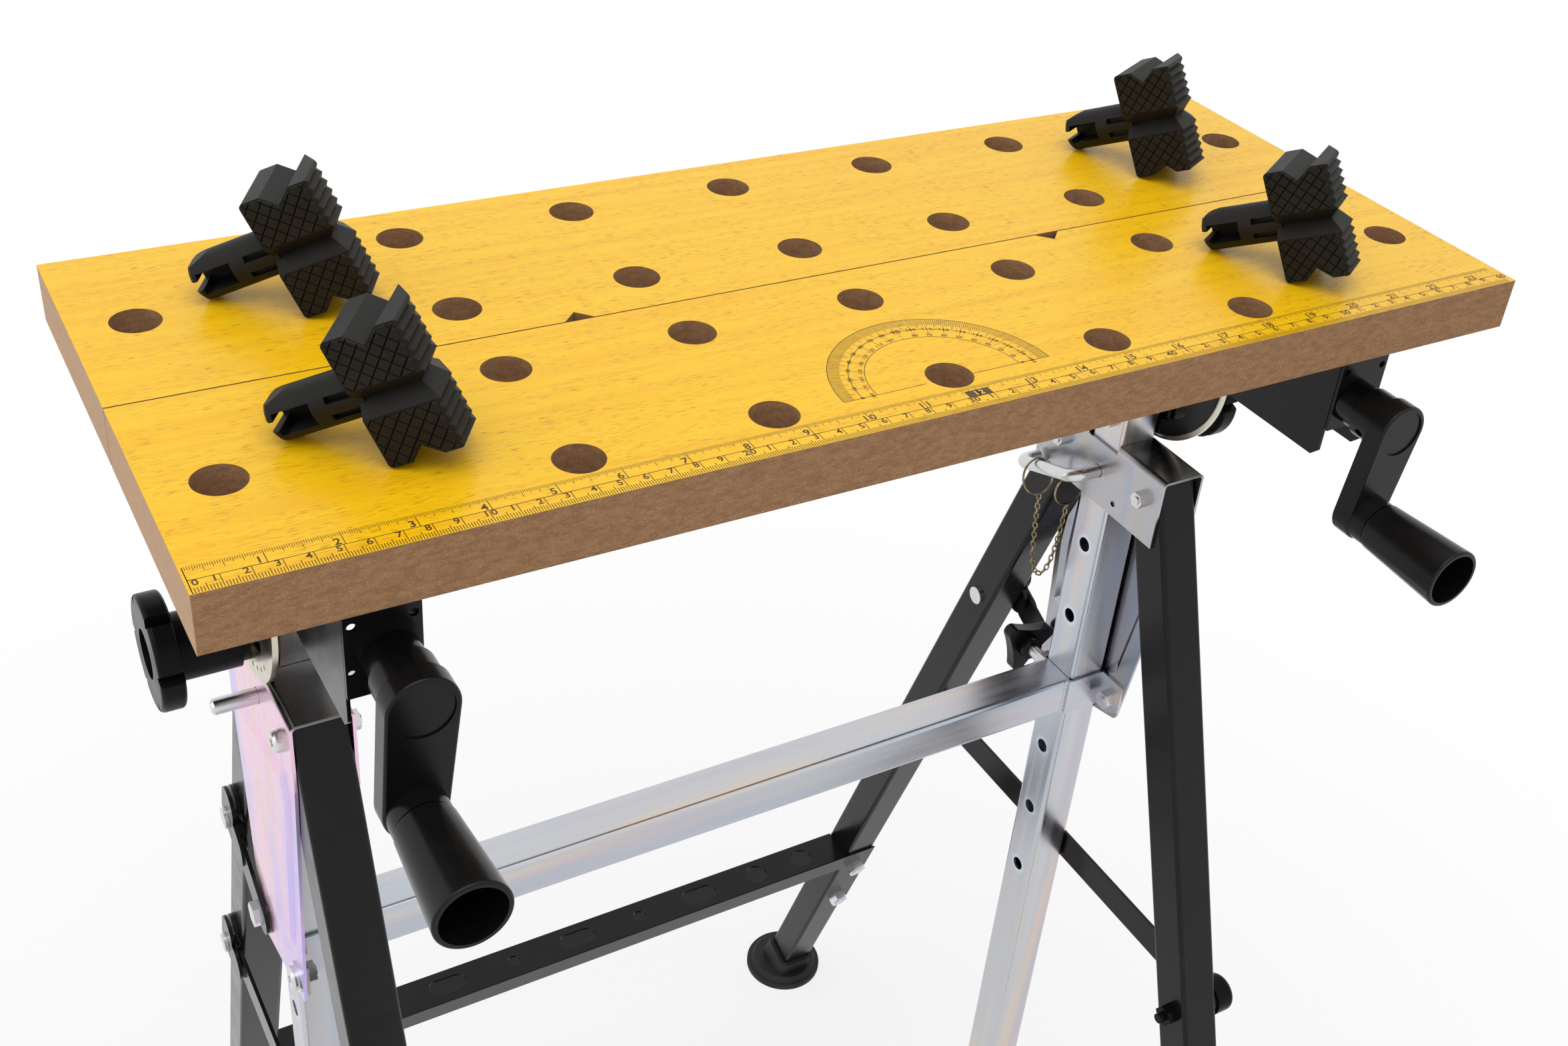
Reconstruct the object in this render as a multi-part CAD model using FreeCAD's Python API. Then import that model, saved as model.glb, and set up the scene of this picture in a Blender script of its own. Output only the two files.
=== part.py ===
import FreeCAD, Part
import math
import os

# Frame: +Z up, +X to the user's right, +Y away from the user, floor at z = 0.
# Everything is drawn with the column line at y = 0 and moved by column_y at the end.

# Shared stock and fits
sheet = 1.5
tube_size = 25.0
tube_wall = 1.5
tube_corner = 2.5
run_gap = 0.3
pin_gap = 0.1
still_gap = 0.05
overrun = 2.0

# Jaw boards
board_length = 605.0
board_width = 119.6
board_thick = 25.0
board_seam = 0.8
board_top = 885.0
board_round = 1.2
front_edge = 163.6
dog_radius = 10.0
dog_pitch = 80.0
dog_row = 34.2
dog_end_inset = 25.0
dog_count = 5
notch_width = 13.0
notch_depth = 6.5
notch_inset = 185.0

# Columns and their holes
column_x = 237.0
column_bottom = 190.0
column_top_drop = 97.0
hole_pitch = 52.0
hole_count = 7
column_hole_radius = 4.4

# Vise rails
rail_front = 146.6
rail_rear = 126.0
rail_side_drop = 90.0
rail_rear_drop = 55.0
rail_taper_start = 60.0
rail_plate_drop = 74.0
plate_relief_drop = 37.0
rail_slit = 0.5
rail_corner = 4.0
relief_radius = 1.8
relief_x = 11.2
relief_drop = 42.6
pin_hole_radius = 1.5
pin_hole_x = 12.0
pin_hole_drop = 62.8
bend_outer = 3.0
bend_inner = 1.5
jaw_travel = 90.0

# Tilt joint
tilt_drop = 112.0
tongue_radius = 49.0
ear_radius = 22.0
ear_root = 34.0
disc_radius = 52.0
disc_thick = 2.5
slot_radius = 35.5
slot_first_angle = -137.0
slot_last_angle = -28.0
tilt_bolt_radius = 4.0
tilt_head_radius = 7.5
tilt_head_thick = 4.0
pivot_radius = 5.0
pivot_head_radius = 9.0
pivot_head_thick = 2.5
dot_radius = 1.2
dot_depth = 0.5
dot_step = 10.0
lug_dot_radius = 42.0
lug_dot_angles = (242.0, 230.0, 221.0)

# Tilt knobs
knob_radius = 26.0
knob_thick = 10.5
knob_face = 57.5
knob_valley = 21.0
knob_gap = 12.0
knob_lobes = 6
knob_turn = 53.0
knob_recess_radius = 11.2
knob_recess = 5.0
knob_hub_radius = 15.0
knob_collar_radius = 13.0
knob_collar = 3.5
knob_round = 2.0

# Spindles, bushes and cranks
spindle_inset = 2.6
spindle_drop = 59.5
spindle_radius = 5.0
spindle_rear = 112.0
stop_radius = 8.0
stop_thick = 3.0
bush_radius = 8.0
bush_flange = 2.0
bush_length = 7.0
hub_radius = 11.0
hub_big_radius = 12.5
hub_step = 11.0
arm_front = 15.8
arm_back = 6.0
arm_head_radius = 13.8
arm_end_radius = 12.5
arm_radius = 45.0
arm_round = 1.2
dish_radius = 11.5
dish_depth = 0.8
set_hole_radius = 2.2
set_hole_inset = 5.5
set_hole_turn = 215.0
left_lean = 5.4
right_lean = 9.0
elbow_radius = 11.6
elbow_reach = 24.0
handle_start_radius = 12.0
handle_end_radius = 14.7
handle_end = 70.0
handle_wall = 2.2
handle_round = 1.0
axle_radius = 3.9
axle_head_radius = 6.5
axle_head = 3.0
socket_depth = 12.0
boss_radius = 11.0

# Travelling nuts and hidden screws
nut_width = 24.0
nut_length = 30.0
nut_drop = 71.5
jaw_screw_radius = 3.0
jaw_screw_spread = 9.0
jaw_screw_drop = 47.0
screw_bite = 16.0
board_screw_radius = 2.5
board_screw_front = 33.6
board_screw_rear = 16.0
screw_head_radius = 5.5
screw_head = 3.0

# Upper brackets
bracket_top_drop = 162.5
bracket_front = 52.9
bracket_rear = 54.6
inner_flange_drop = 42.5
flange_step_drop = 36.5
flange_tip_y = 31.0
flange_tip_drop = 193.5
flange_foot_y = 44.0
flange_foot_drop = 212.5
flange_rear_low_y = 48.0
flange_rear_low_drop = 143.5
flange_rear_high_drop = 62.5
window_drop = 4.9
bracket_bend = 3.5
emboss_height = 1.5
emboss_slope = 5.0
emboss_corners = ((43.0, 55.5), (-37.0, 38.5), (-41.6, 50.5), (-24.0, 160.5), (-8.0, 179.5),
                  (43.0, 151.5), (46.5, 110.5))
small_hole_y = 17.4
small_hole_drop = 34.7
small_hole_radius = 1.8
ring_hole_y = 20.0
ring_hole_drop = 37.5
ring_hole_radius = 2.4

# Leg pivots
front_pivot_y = 39.3
front_pivot_drop = 17.3
rear_pivot_y = 33.0
rear_pivot_drop = 19.0
leg_screw_radius = 2.5
pan_radius = 5.0
pan_thick = 3.2
spring_radius = 5.3
spring = 1.2
cross_width = 1.0
cross_length = 5.0
cross_depth = 1.2
lock_nut_radius = 4.8
lock_nut = 5.0
screw_end = 0.8

# Legs and feet
front_slope_share = 0.379
rear_slope_share = 0.352
leg_top = 8.5
leg_end_gap = 9.0
foot_radius = 32.0
foot_edge = 5.0
foot_flare_radius = 26.0
foot_flare = 4.0
foot_wall = 3.2
foot_collar = 32.0
foot_round = 1.5

# Crossbar and sleeves
crossbar_drop = 180.5
sleeve_ear = 33.0
sleeve_point = 24.0
sleeve_bolt_y = 23.0
sleeve_bolt_drop = 182.5
sleeve_bolt_radius = 3.0
sleeve_head_radius = 6.0
sleeve_head = 3.0
sleeve_washer_radius = 8.0
sleeve_washer = 1.2
sleeve_nut_radius = 5.8
sleeve_nut = 5.0

# Star knobs
star_inset = 8.0
star_drop = 177.5
star_stud_radius = 4.0
star_hub = 31.0
star_start = 36.0
star_end = 44.0
star_radius = 20.0
star_tip_radius = 4.5
star_tip_turn = 72.0
star_valley = 11.2
star_points = 3
star_turn = 15.0
star_boss_radius = 7.5
star_nut_radius = 7.2
star_nut = 6.0
star_round = 1.5

# Locking pins and their chains
pin_radius = 3.8
pin_drop = 22.8
pin_end_x = 271.3
pin_handle_x = 205.5
pin_handle_run = 51.0
pin_return = 14.0
pin_droop_angle = 20.0
pin_bend = 8.0
pin_chamfer = 1.0
ring_radius = 10.75
ring_wire = 0.75
ring_hang_y = 31.0
chain_radius = 1.4
chain_gap = 0.1
chain_drop = 58.0
chain_sway = 2.0
low_share = 0.08

# Braces
strip_width = 20.0
strip_thick = 2.0
tab_inner_from = 12.8
tab_outer_from = 15.9
lower_strip_from = 13.3
upper_strip_from = 14.9
fork_reach = 28.0
fork_clear = 1.2
tab_rise = 13.0
rivet_radius = 4.0
rivet_head_radius = 5.8
rivet_head = 2.0
rivet_washer_radius = 7.5
lower_rivet_drop = 317.5
lower_front_drop = 318.5
upper_rivet_drop = 171.9
brace_bolt_y = 37.4
brace_bolt_drop = 195.5
brace_bolt_radius = 3.0
brace_hex_radius = 6.9
brace_hex = 4.1
strip_tail = 12.0
dome_radius = 11.5
dome_height = 13.0
dome_stud_radius = 3.0
dome_fillet = 4.0
leg_nut_radius = 6.5
leg_nut = 6.0
stud_end = 4.0

# Foot step between the rear legs
step_top = 222.0
step_flange = 21.0
step_tab_bottom = 143.0
step_rear_flange = 30.0
step_bolt_high_z = 205.0
step_bolt_low_z = 153.0
step_bolt_radius = 4.0
step_nut_radius = 7.5
step_nut = 6.0
step_head_radius = 8.0
step_head = 2.5
step_oblong_length = 28.0
step_oblong_width = 14.0
step_small_radius = 5.0
step_large_radius = 8.5
step_small_x = 50.0
step_oblong_x = 100.0
step_large_x = 150.0
step_last_x = 190.0

# Swivel grips, lying on the boards
grip_thick = 30.0
grip_half = 26.0
grip_depth = 32.0
grip_part = 17.0
grip_far_thick = 21.0
grip_round = 2.0
grip_notch_from = 9.2
grip_notch_bottom = 14.9
grip_notch_to = 21.6
grip_notch_depth = 5.4
grip_groove = 5.6
rib_count = 5
rib_depth = 1.7
rib_edge = 0.6
rib_valley_share = 0.39
peg_radius = 9.5
peg_length = 36.0
peg_depth = 14.0
peg_tip = 1.5
peg_channel = 18.2
peg_channel_width = 9.0
peg_channel_floor = 4.5
peg_hook = 3.0
peg_mouth = 4.0
peg_slot_length = 12.0
peg_slot_width = 2.6
peg_slot_spread = 3.4
peg_slot_depth = 3.5
peg_slope_length = 9.0
peg_slope_height = 2.5
grip_places = {
    "rear_left": (84.8, 158.6, -28.5),
    "front_left": (79.6, 44.2, -33.8),
    "rear_right": (503.8, 156.2, -62.4),
    "front_right": (495.2, 37.6, -59.4),
}

# Derived values
tube_half = tube_size / 2
inner_half = tube_half + run_gap
relief_z = board_top - relief_drop
pin_hole_z = board_top - pin_hole_drop
tilt_z = board_top - tilt_drop
spindle_z = board_top - spindle_drop
bracket_top = board_top - bracket_top_drop
small_hole_z = bracket_top - small_hole_drop
ring_hole_z = bracket_top - ring_hole_drop
front_pivot_z = bracket_top - front_pivot_drop
rear_pivot_z = bracket_top - rear_pivot_drop
pin_z = bracket_top - pin_drop
rail_side_bottom = board_top - rail_side_drop
rail_rear_bottom = board_top - rail_rear_drop
rail_plate_bottom = board_top - rail_plate_drop
rail_plate_relief = board_top - plate_relief_drop
nut_bottom = board_top - nut_drop
jaw_screw_bottom = board_top - jaw_screw_drop
column_top = board_top - column_top_drop
lower_rivet_z = bracket_top - lower_rivet_drop
lower_front_z = bracket_top - lower_front_drop
crossbar_z = bracket_top - crossbar_drop
sleeve_bolt_z = bracket_top - sleeve_bolt_drop
star_z = bracket_top - star_drop
upper_rivet_z = bracket_top - upper_rivet_drop
brace_bolt_z = bracket_top - brace_bolt_drop
outer_half = inner_half + sheet
board_under = board_top - board_thick
front_board_y = -front_edge
rear_board_y = front_board_y + board_width + board_seam
rear_centre = rear_board_y + board_width / 2
front_slope = math.atan(front_slope_share)
rear_slope = math.atan(rear_slope_share)
front_foot_y = -front_pivot_y - front_pivot_z * front_slope_share
rear_foot_y = rear_pivot_y + rear_pivot_z * rear_slope_share
column_y = -(front_foot_y + rear_foot_y) / 2
bolt_z = tilt_z - slot_radius
disc_inner = outer_half + run_gap
disc_outer = disc_inner + disc_thick
spindle_x = column_x - spindle_inset
bush_flange_radius = inner_half - spindle_inset - run_gap
board_screw_rows = (front_board_y + board_screw_front, front_board_y + board_width - board_screw_rear)
axis_x = FreeCAD.Vector(1, 0, 0)
axis_y = FreeCAD.Vector(0, 1, 0)
axis_z = FreeCAD.Vector(0, 0, 1)


def vec(x, y, z):
    return FreeCAD.Vector(x, y, z)


def box(x0, x1, y0, y1, z0, z1):
    return Part.makeBox(x1 - x0, y1 - y0, z1 - z0, vec(x0, y0, z0))


def rod_x(x0, x1, y, z, radius):
    return Part.makeCylinder(radius, x1 - x0, vec(x0, y, z), axis_x)


def rod_y(y0, y1, x, z, radius):
    return Part.makeCylinder(radius, y1 - y0, vec(x, y0, z), axis_y)


def rod_z(z0, z1, x, y, radius):
    return Part.makeCylinder(radius, z1 - z0, vec(x, y, z0), axis_z)


def outline_wire(corners):
    return Part.makePolygon(corners + corners[:1])


def prism(corners, way):
    return Part.Face(outline_wire(corners)).extrude(way)


def plate_x(x0, x1, points):
    """Flat plate across X from (y, z) corners."""
    return prism([vec(x0, y, z) for y, z in points], vec(x1 - x0, 0, 0))


def plate_y(y0, y1, points):
    return prism([vec(x, y0, z) for x, z in points], vec(0, y1 - y0, 0))


def hexagon(x0, x1, y, z, radius):
    """Hexagonal nut or head across X."""
    points = []
    for k in range(6):
        turn = math.radians(60 * k)
        points.append((y + radius * math.cos(turn), z + radius * math.sin(turn)))
    return plate_x(x0, x1, points)


def union(first, *others):
    if not others:
        return first
    return first.multiFuse(list(others)).removeSplitter()


def cut(base, *tools):
    return base.cut(list(tools)) if tools else base


def turned(shape, angle, y, z):
    """Turn about the X direction through (y, z), angle in radians."""
    copy = shape.copy()
    copy.rotate(vec(0, y, z), axis_x, math.degrees(angle))
    return copy


def along(shape, direction, test=None):
    """Straight edges that run along one direction."""
    picked = []
    for edge in shape.Edges:
        if len(edge.Vertexes) < 2 or edge.Curve.TypeId != "Part::GeomLine":
            continue
        line = edge.Vertexes[1].Point.sub(edge.Vertexes[0].Point)
        line.normalize()
        if abs(line.dot(direction)) > 1 - 1e-6 and (test is None or test(edge)):
            picked.append(edge)
    return picked


def rounded(shape, radius, direction, test=None):
    return shape.makeFillet(radius, along(shape, direction, test))


def arc_slot(x0, x1, y, z, radius, half, first, last):
    """Curved slot round (y, z), cut across X, angles in degrees from +Y."""
    def at(r, angle):
        turn = math.radians(angle)
        return vec(x0, y + r * math.cos(turn), z + r * math.sin(turn))

    def cap(angle, side):
        turn = math.radians(angle)
        mid = at(radius, angle)
        reach = half * side
        return mid.add(vec(0, -math.sin(turn) * reach, math.cos(turn) * reach))

    middle = (first + last) / 2
    edges = [
        Part.Arc(at(radius + half, first), at(radius + half, middle), at(radius + half, last)),
        Part.Arc(at(radius + half, last), cap(last, 1), at(radius - half, last)),
        Part.Arc(at(radius - half, last), at(radius - half, middle), at(radius - half, first)),
        Part.Arc(at(radius - half, first), cap(first, -1), at(radius + half, first)),
    ]
    wire = Part.Wire([edge.toShape() for edge in edges])
    return Part.Face(wire).extrude(vec(x1 - x0, 0, 0))


def square_tube(x0, x1, y0, y1, z0, z1, direction):
    """Square steel tube with rounded corners, open at both ends of its direction."""
    solid = rounded(box(x0, x1, y0, y1, z0, z1), tube_corner, direction)
    grow_x = 0 if direction.x else tube_wall
    grow_y = 0 if direction.y else tube_wall
    grow_z = 0 if direction.z else tube_wall
    hollow = box(x0 + grow_x, x1 - grow_x, y0 + grow_y, y1 - grow_y, z0 + grow_z, z1 - grow_z)
    return solid.cut(rounded(hollow, tube_corner - tube_wall, direction))


def round_path(points, radii):
    """Wire of straight runs joined by tangent arcs."""
    edges = []
    start = points[0]
    for k in range(1, len(points) - 1):
        back = points[k - 1].sub(points[k])
        ahead = points[k + 1].sub(points[k])
        back.normalize()
        ahead.normalize()
        half = back.getAngle(ahead) / 2
        reach = radii[k - 1] / math.tan(half)
        first = points[k].add(back * reach)
        last = points[k].add(ahead * reach)
        inward = back.add(ahead)
        inward.normalize()
        centre = points[k].add(inward * (radii[k - 1] / math.sin(half)))
        middle = centre.sub(inward * radii[k - 1])
        edges.append(Part.LineSegment(start, first).toShape())
        edges.append(Part.Arc(first, middle, last).toShape())
        start = last
    edges.append(Part.LineSegment(start, points[-1]).toShape())
    return Part.Wire(edges)


def tube_along(path, radius, direction):
    circle = Part.Circle(path.Vertexes[0].Point, direction, radius).toShape()
    return path.makePipeShell([Part.Wire([circle])], True, True)


def ring(centre, normal, radius, wire):
    return Part.makeTorus(radius, wire, centre, normal)


# Jaw boards
def board_blank(y0, edge_sign, notch_x):
    """One laminated board with its dog holes and its notch."""
    half = board_length / 2
    blank = box(-half, half, y0, y0 + board_width, board_under, board_top)
    low = lambda edge: edge.CenterOfMass.z < board_under + board_round
    blank = rounded(blank, board_round, axis_x, low)
    centre = y0 + board_width / 2
    cuts = []
    for k in range(dog_count):
        x = dog_pitch * (k - (dog_count - 1) / 2)
        for side in (-1, 1):
            y = centre + side * dog_row
            cuts.append(rod_z(board_under - overrun, board_top + overrun, x, y, dog_radius))
    for side in (-1, 1):
        x = side * (half - dog_end_inset)
        cuts.append(rod_z(board_under - overrun, board_top + overrun, x, centre, dog_radius))
    edge = centre + edge_sign * board_width / 2
    inside = edge - edge_sign * notch_depth
    outside = edge + edge_sign * overrun
    spread = notch_width / 2 * (notch_depth + overrun) / notch_depth
    low_z = board_under - overrun
    triangle = [vec(notch_x, inside, low_z), vec(notch_x + spread, outside, low_z),
                vec(notch_x - spread, outside, low_z)]
    cuts.append(prism(triangle, vec(0, 0, board_thick + 2 * overrun)))
    return blank.cut(cuts)


def front_board():
    notch_x = board_length / 2 - notch_inset
    holes = [rod_z(board_under - overrun, board_under + screw_bite + run_gap, side * column_x, y,
                   board_screw_radius + still_gap)
             for side in (-1, 1) for y in board_screw_rows]
    return board_blank(front_board_y, 1, notch_x).cut(holes)


def rear_board():
    notch_x = notch_inset - board_length / 2
    holes = [rod_z(board_under - overrun, board_under + screw_bite + run_gap, side * column_x,
                   rear_centre + end * jaw_screw_spread, jaw_screw_radius + still_gap)
             for side in (-1, 1) for end in (-1, 1)]
    return board_blank(rear_board_y, -1, notch_x).cut(holes)


def board_screw(y):
    head_top = board_under - sheet
    head = rod_z(head_top - screw_head, head_top, column_x, y, screw_head_radius)
    return union(head, rod_z(head_top, board_under + screw_bite, column_x, y, board_screw_radius))


def jaw_screw(end):
    y = rear_centre + end * jaw_screw_spread
    return rod_z(jaw_screw_bottom, board_under + screw_bite, column_x, y, jaw_screw_radius)


def travelling_nut():
    """Block that the spindle draws along inside the rail."""
    top = board_under - sheet - run_gap
    y0 = rear_centre - nut_length / 2
    y1 = rear_centre + nut_length / 2
    block = box(column_x - nut_width / 2, column_x + nut_width / 2, y0, y1, nut_bottom, top)
    bore = rod_y(y0 - overrun, y1 + overrun, spindle_x, spindle_z, spindle_radius + run_gap)
    holes = [rod_z(jaw_screw_bottom, top + overrun, column_x,
                   rear_centre + end * jaw_screw_spread, jaw_screw_radius + still_gap)
             for end in (-1, 1)]
    return cut(block, bore, *holes)


# Vise rail
def rail_channel():
    y0 = -rail_front
    outer = box(column_x - outer_half, column_x + outer_half, y0, rail_rear,
                rail_side_bottom, board_under)
    high = lambda edge: edge.CenterOfMass.z > board_under - sheet
    outer = rounded(outer, bend_outer, axis_y, high)
    inner = box(column_x - inner_half, column_x + inner_half, y0 + sheet, rail_rear + overrun,
                rail_side_bottom - overrun, board_under - sheet)
    under = lambda edge: edge.CenterOfMass.z > board_under - sheet - bend_inner
    inner = rounded(inner, bend_inner, axis_y, under)
    shell = outer.cut(inner)
    side = [
        (y0 + sheet + rail_slit, board_under + overrun),
        (y0 + sheet + rail_slit, rail_side_bottom + rail_corner),
        (y0 + sheet + rail_slit + rail_corner, rail_side_bottom),
        (rail_taper_start, rail_side_bottom),
        (rail_rear - rail_corner, rail_rear_bottom),
        (rail_rear, rail_rear_bottom + rail_corner),
        (rail_rear, board_under + overrun),
    ]
    sides = plate_x(column_x - outer_half - overrun, column_x + outer_half + overrun, side)
    front = box(column_x - outer_half, column_x + outer_half, y0, y0 + sheet,
                rail_plate_bottom, board_under)
    neck = box(column_x - outer_half, column_x + outer_half, y0, y0 + sheet + rail_slit + sheet,
               rail_plate_relief, board_under)
    return shell.common(union(sides, front, neck))


def vise_rail():
    """Bent channel that carries the front board, with the tilt tongue outside."""
    tongue = rod_x(column_x + inner_half, column_x + outer_half, 0, tilt_z, tongue_radius)
    ear = rod_x(column_x - outer_half, column_x - inner_half, 0, tilt_z, ear_radius)
    neck = plate_x(column_x - outer_half, column_x - inner_half,
                   [(-ear_radius, tilt_z), (ear_radius, tilt_z), (ear_root, rail_side_bottom + sheet),
                    (-ear_root, rail_side_bottom + sheet)])
    rail = union(rail_channel(), tongue, ear, neck)
    slot_half = tilt_bolt_radius + run_gap
    cuts = [
        arc_slot(column_x + inner_half - overrun, column_x + outer_half + overrun, 0, tilt_z,
                 slot_radius, slot_half, slot_first_angle, slot_last_angle),
        rod_x(column_x - outer_half - overrun, column_x + outer_half + overrun, 0, tilt_z,
              pivot_radius + still_gap),
        rod_y(-rail_front - overrun, -rail_front + sheet + overrun, spindle_x, spindle_z,
              bush_radius + still_gap),
    ]
    for x, z, radius in ((relief_x, relief_z, relief_radius), (-relief_x, relief_z, relief_radius),
                         (pin_hole_x, pin_hole_z, pin_hole_radius)):
        cuts.append(rod_y(-rail_front - overrun, -rail_front + sheet + rail_slit, column_x + x, z,
                          radius))
    screw_clear = jaw_screw_radius + run_gap
    cuts.append(box(column_x - screw_clear, column_x + screw_clear,
                    rear_centre - jaw_screw_spread - screw_clear,
                    rear_centre + jaw_screw_spread + jaw_travel + screw_clear,
                    board_under - sheet - overrun, board_under + overrun))
    for y in board_screw_rows:
        cuts.append(rod_z(board_under - sheet - overrun, board_under + overrun, column_x, y,
                          board_screw_radius + still_gap))
    for angle in lug_dot_angles:
        turn = math.radians(angle)
        cuts.append(rod_x(column_x + outer_half - dot_depth, column_x + outer_half + overrun,
                          lug_dot_radius * math.cos(turn), tilt_z + lug_dot_radius * math.sin(turn),
                          dot_radius))
    return rail.cut(cuts)


def tilt_disc():
    """Zinc disc with the tilt slot and its ring of degree dots."""
    x0 = column_x + disc_inner
    x1 = column_x + disc_outer
    disc = rod_x(x0, x1, 0, tilt_z, disc_radius)
    slot_half = tilt_bolt_radius + run_gap
    cuts = [
        arc_slot(x0 - overrun, x1 + overrun, 0, tilt_z, slot_radius, slot_half,
                 slot_first_angle, slot_last_angle),
        rod_x(x0 - overrun, x1 + overrun, 0, tilt_z, pivot_radius + still_gap),
    ]
    count = int((slot_last_angle - slot_first_angle) / dot_step)
    dot_ring = (slot_radius + slot_half + disc_radius) / 2
    for k in range(count + 1):
        turn = math.radians(slot_first_angle + dot_step * k)
        cuts.append(rod_x(x1 - dot_depth, x1 + overrun, dot_ring * math.cos(turn),
                          tilt_z + dot_ring * math.sin(turn), dot_radius))
    return disc.cut(cuts)


def disc_rivet():
    x0 = column_x - outer_half - pivot_head_thick
    x1 = column_x + disc_outer + pivot_head_thick
    shank = rod_x(x0, x1, 0, tilt_z, pivot_radius)
    inner = rod_x(x0, column_x - outer_half, 0, tilt_z, pivot_head_radius)
    outer = rod_x(column_x + disc_outer, x1, 0, tilt_z, pivot_head_radius)
    return union(shank, inner, outer)


def tilt_bolt():
    """Bolt through the column and the disc slot, ending inside the knob."""
    x0 = column_x - tube_half - tilt_head_thick
    x1 = column_x + knob_face - knob_recess - sheet
    head = hexagon(x0, column_x - tube_half, 0, bolt_z, tilt_head_radius)
    return union(head, rod_x(x0, x1, 0, bolt_z, tilt_bolt_radius))


def knob_gaps(x0, x1):
    """V gaps between the knob's lobes."""
    gaps = []
    far = knob_radius + overrun
    half = knob_radius * math.sin(math.radians(knob_gap / 2))
    spread = math.atan2(half * (far - knob_valley) / (knob_radius - knob_valley), far)
    for k in range(knob_lobes):
        turn = math.radians(knob_turn + 360 * k / knob_lobes)
        points = [(knob_valley * math.cos(turn), bolt_z + knob_valley * math.sin(turn))]
        for side in (1, -1):
            way = turn + side * spread
            points.append((far * math.cos(way), bolt_z + far * math.sin(way)))
        gaps.append(plate_x(x0 - still_gap, x1 + overrun, points))
    return gaps


def tilt_knob():
    x1 = column_x + knob_face
    x0 = x1 - knob_thick
    near = column_x + disc_outer + run_gap
    body = rod_x(x0, x1, 0, bolt_z, knob_radius)
    rims = [edge for edge in body.Edges if edge.Curve.TypeId == "Part::GeomCircle"]
    body = body.makeFillet(knob_round, rims).cut(knob_gaps(x0, x1))
    body = union(body, rod_x(near + knob_collar, x0, 0, bolt_z, knob_hub_radius),
                 rod_x(near, near + knob_collar, 0, bolt_z, knob_collar_radius))
    recess = rod_x(x1 - knob_recess, x1 + overrun, 0, bolt_z, knob_recess_radius)
    bore = rod_x(near - overrun, x1 - knob_recess - sheet + run_gap, 0, bolt_z,
                 tilt_bolt_radius + pin_gap)
    return cut(body, recess, bore)


# Spindles and cranks
def spindle(side):
    x = side * spindle_x
    hub_back = front_board_y - arm_back
    rod = rod_y(hub_back, spindle_rear, x, spindle_z, spindle_radius)
    stop_y = -rail_front + bush_length + pin_gap
    return union(rod, rod_y(stop_y, stop_y + stop_thick, x, spindle_z, stop_radius))


def spindle_bush():
    y0 = -rail_front
    body = rod_y(y0, y0 + bush_length, spindle_x, spindle_z, bush_radius)
    flange = rod_y(y0 + sheet, y0 + sheet + bush_flange, spindle_x, spindle_z, bush_flange_radius)
    bore = rod_y(y0 - overrun, y0 + bush_length + overrun, spindle_x, spindle_z,
                 spindle_radius + pin_gap)
    return union(body, flange).cut(bore)


def arm_plate(y0, y1, x, z, head, end, reach):
    """Tapered arm between two round ends, hanging straight down."""
    lean = math.asin((head - end) / reach)
    side = [(x + s * r * math.cos(lean), zc - r * math.sin(lean))
            for s, r, zc in ((1, head, z), (1, end, z - reach), (-1, end, z - reach), (-1, head, z))]
    return union(rod_y(y0, y1, x, z, head), rod_y(y0, y1, x, z - reach, end), plate_y(y0, y1, side))


def lean_about(shape, side, lean):
    copy = shape.copy()
    copy.rotate(vec(side * spindle_x, 0, spindle_z), axis_y, lean)
    return copy


def crank(side, lean):
    """Black crank: stepped hub, tapered arm, elbow collar and the handle's axle."""
    x = side * spindle_x
    end_z = spindle_z - arm_radius
    y_back = front_board_y - arm_back
    y_front = front_board_y - arm_front
    y_plate = -rail_front - run_gap
    arm = arm_plate(y_front, y_back, x, spindle_z, arm_head_radius, arm_end_radius, arm_radius)
    faces = [edge for edge in arm.Edges if abs(edge.CenterOfMass.y - y_front) < arm_round / 2]
    arm = arm.makeFillet(arm_round, faces)
    arm = arm.cut(rod_y(y_front - overrun, y_front + dish_depth, x, spindle_z, dish_radius))
    hub = rod_y(y_plate - hub_step, y_plate, x, spindle_z, hub_radius)
    big = rod_y(y_back, y_plate - hub_step, x, spindle_z, hub_big_radius)
    collar = rod_y(front_board_y - elbow_reach, y_front + 2 * arm_round, x, end_z, elbow_radius)
    head_y = front_board_y - elbow_reach - run_gap - socket_depth - run_gap
    axle = rod_y(head_y - axle_head, front_board_y - elbow_reach, x, end_z, axle_radius)
    head = rod_y(head_y - axle_head, head_y, x, end_z, axle_head_radius)
    body = union(arm, hub, big, collar, axle, head)
    socket = rod_y(y_back, y_plate + overrun, x, spindle_z, spindle_radius + still_gap)
    turn = math.radians(set_hole_turn)
    way = vec(math.cos(turn), 0, math.sin(turn))
    start = vec(x, y_back + set_hole_inset, spindle_z).add(way * (spindle_radius + overrun))
    screw = Part.makeCylinder(set_hole_radius, hub_big_radius, start, way)
    return lean_about(body.cut([socket, screw]), side, lean)


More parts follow.
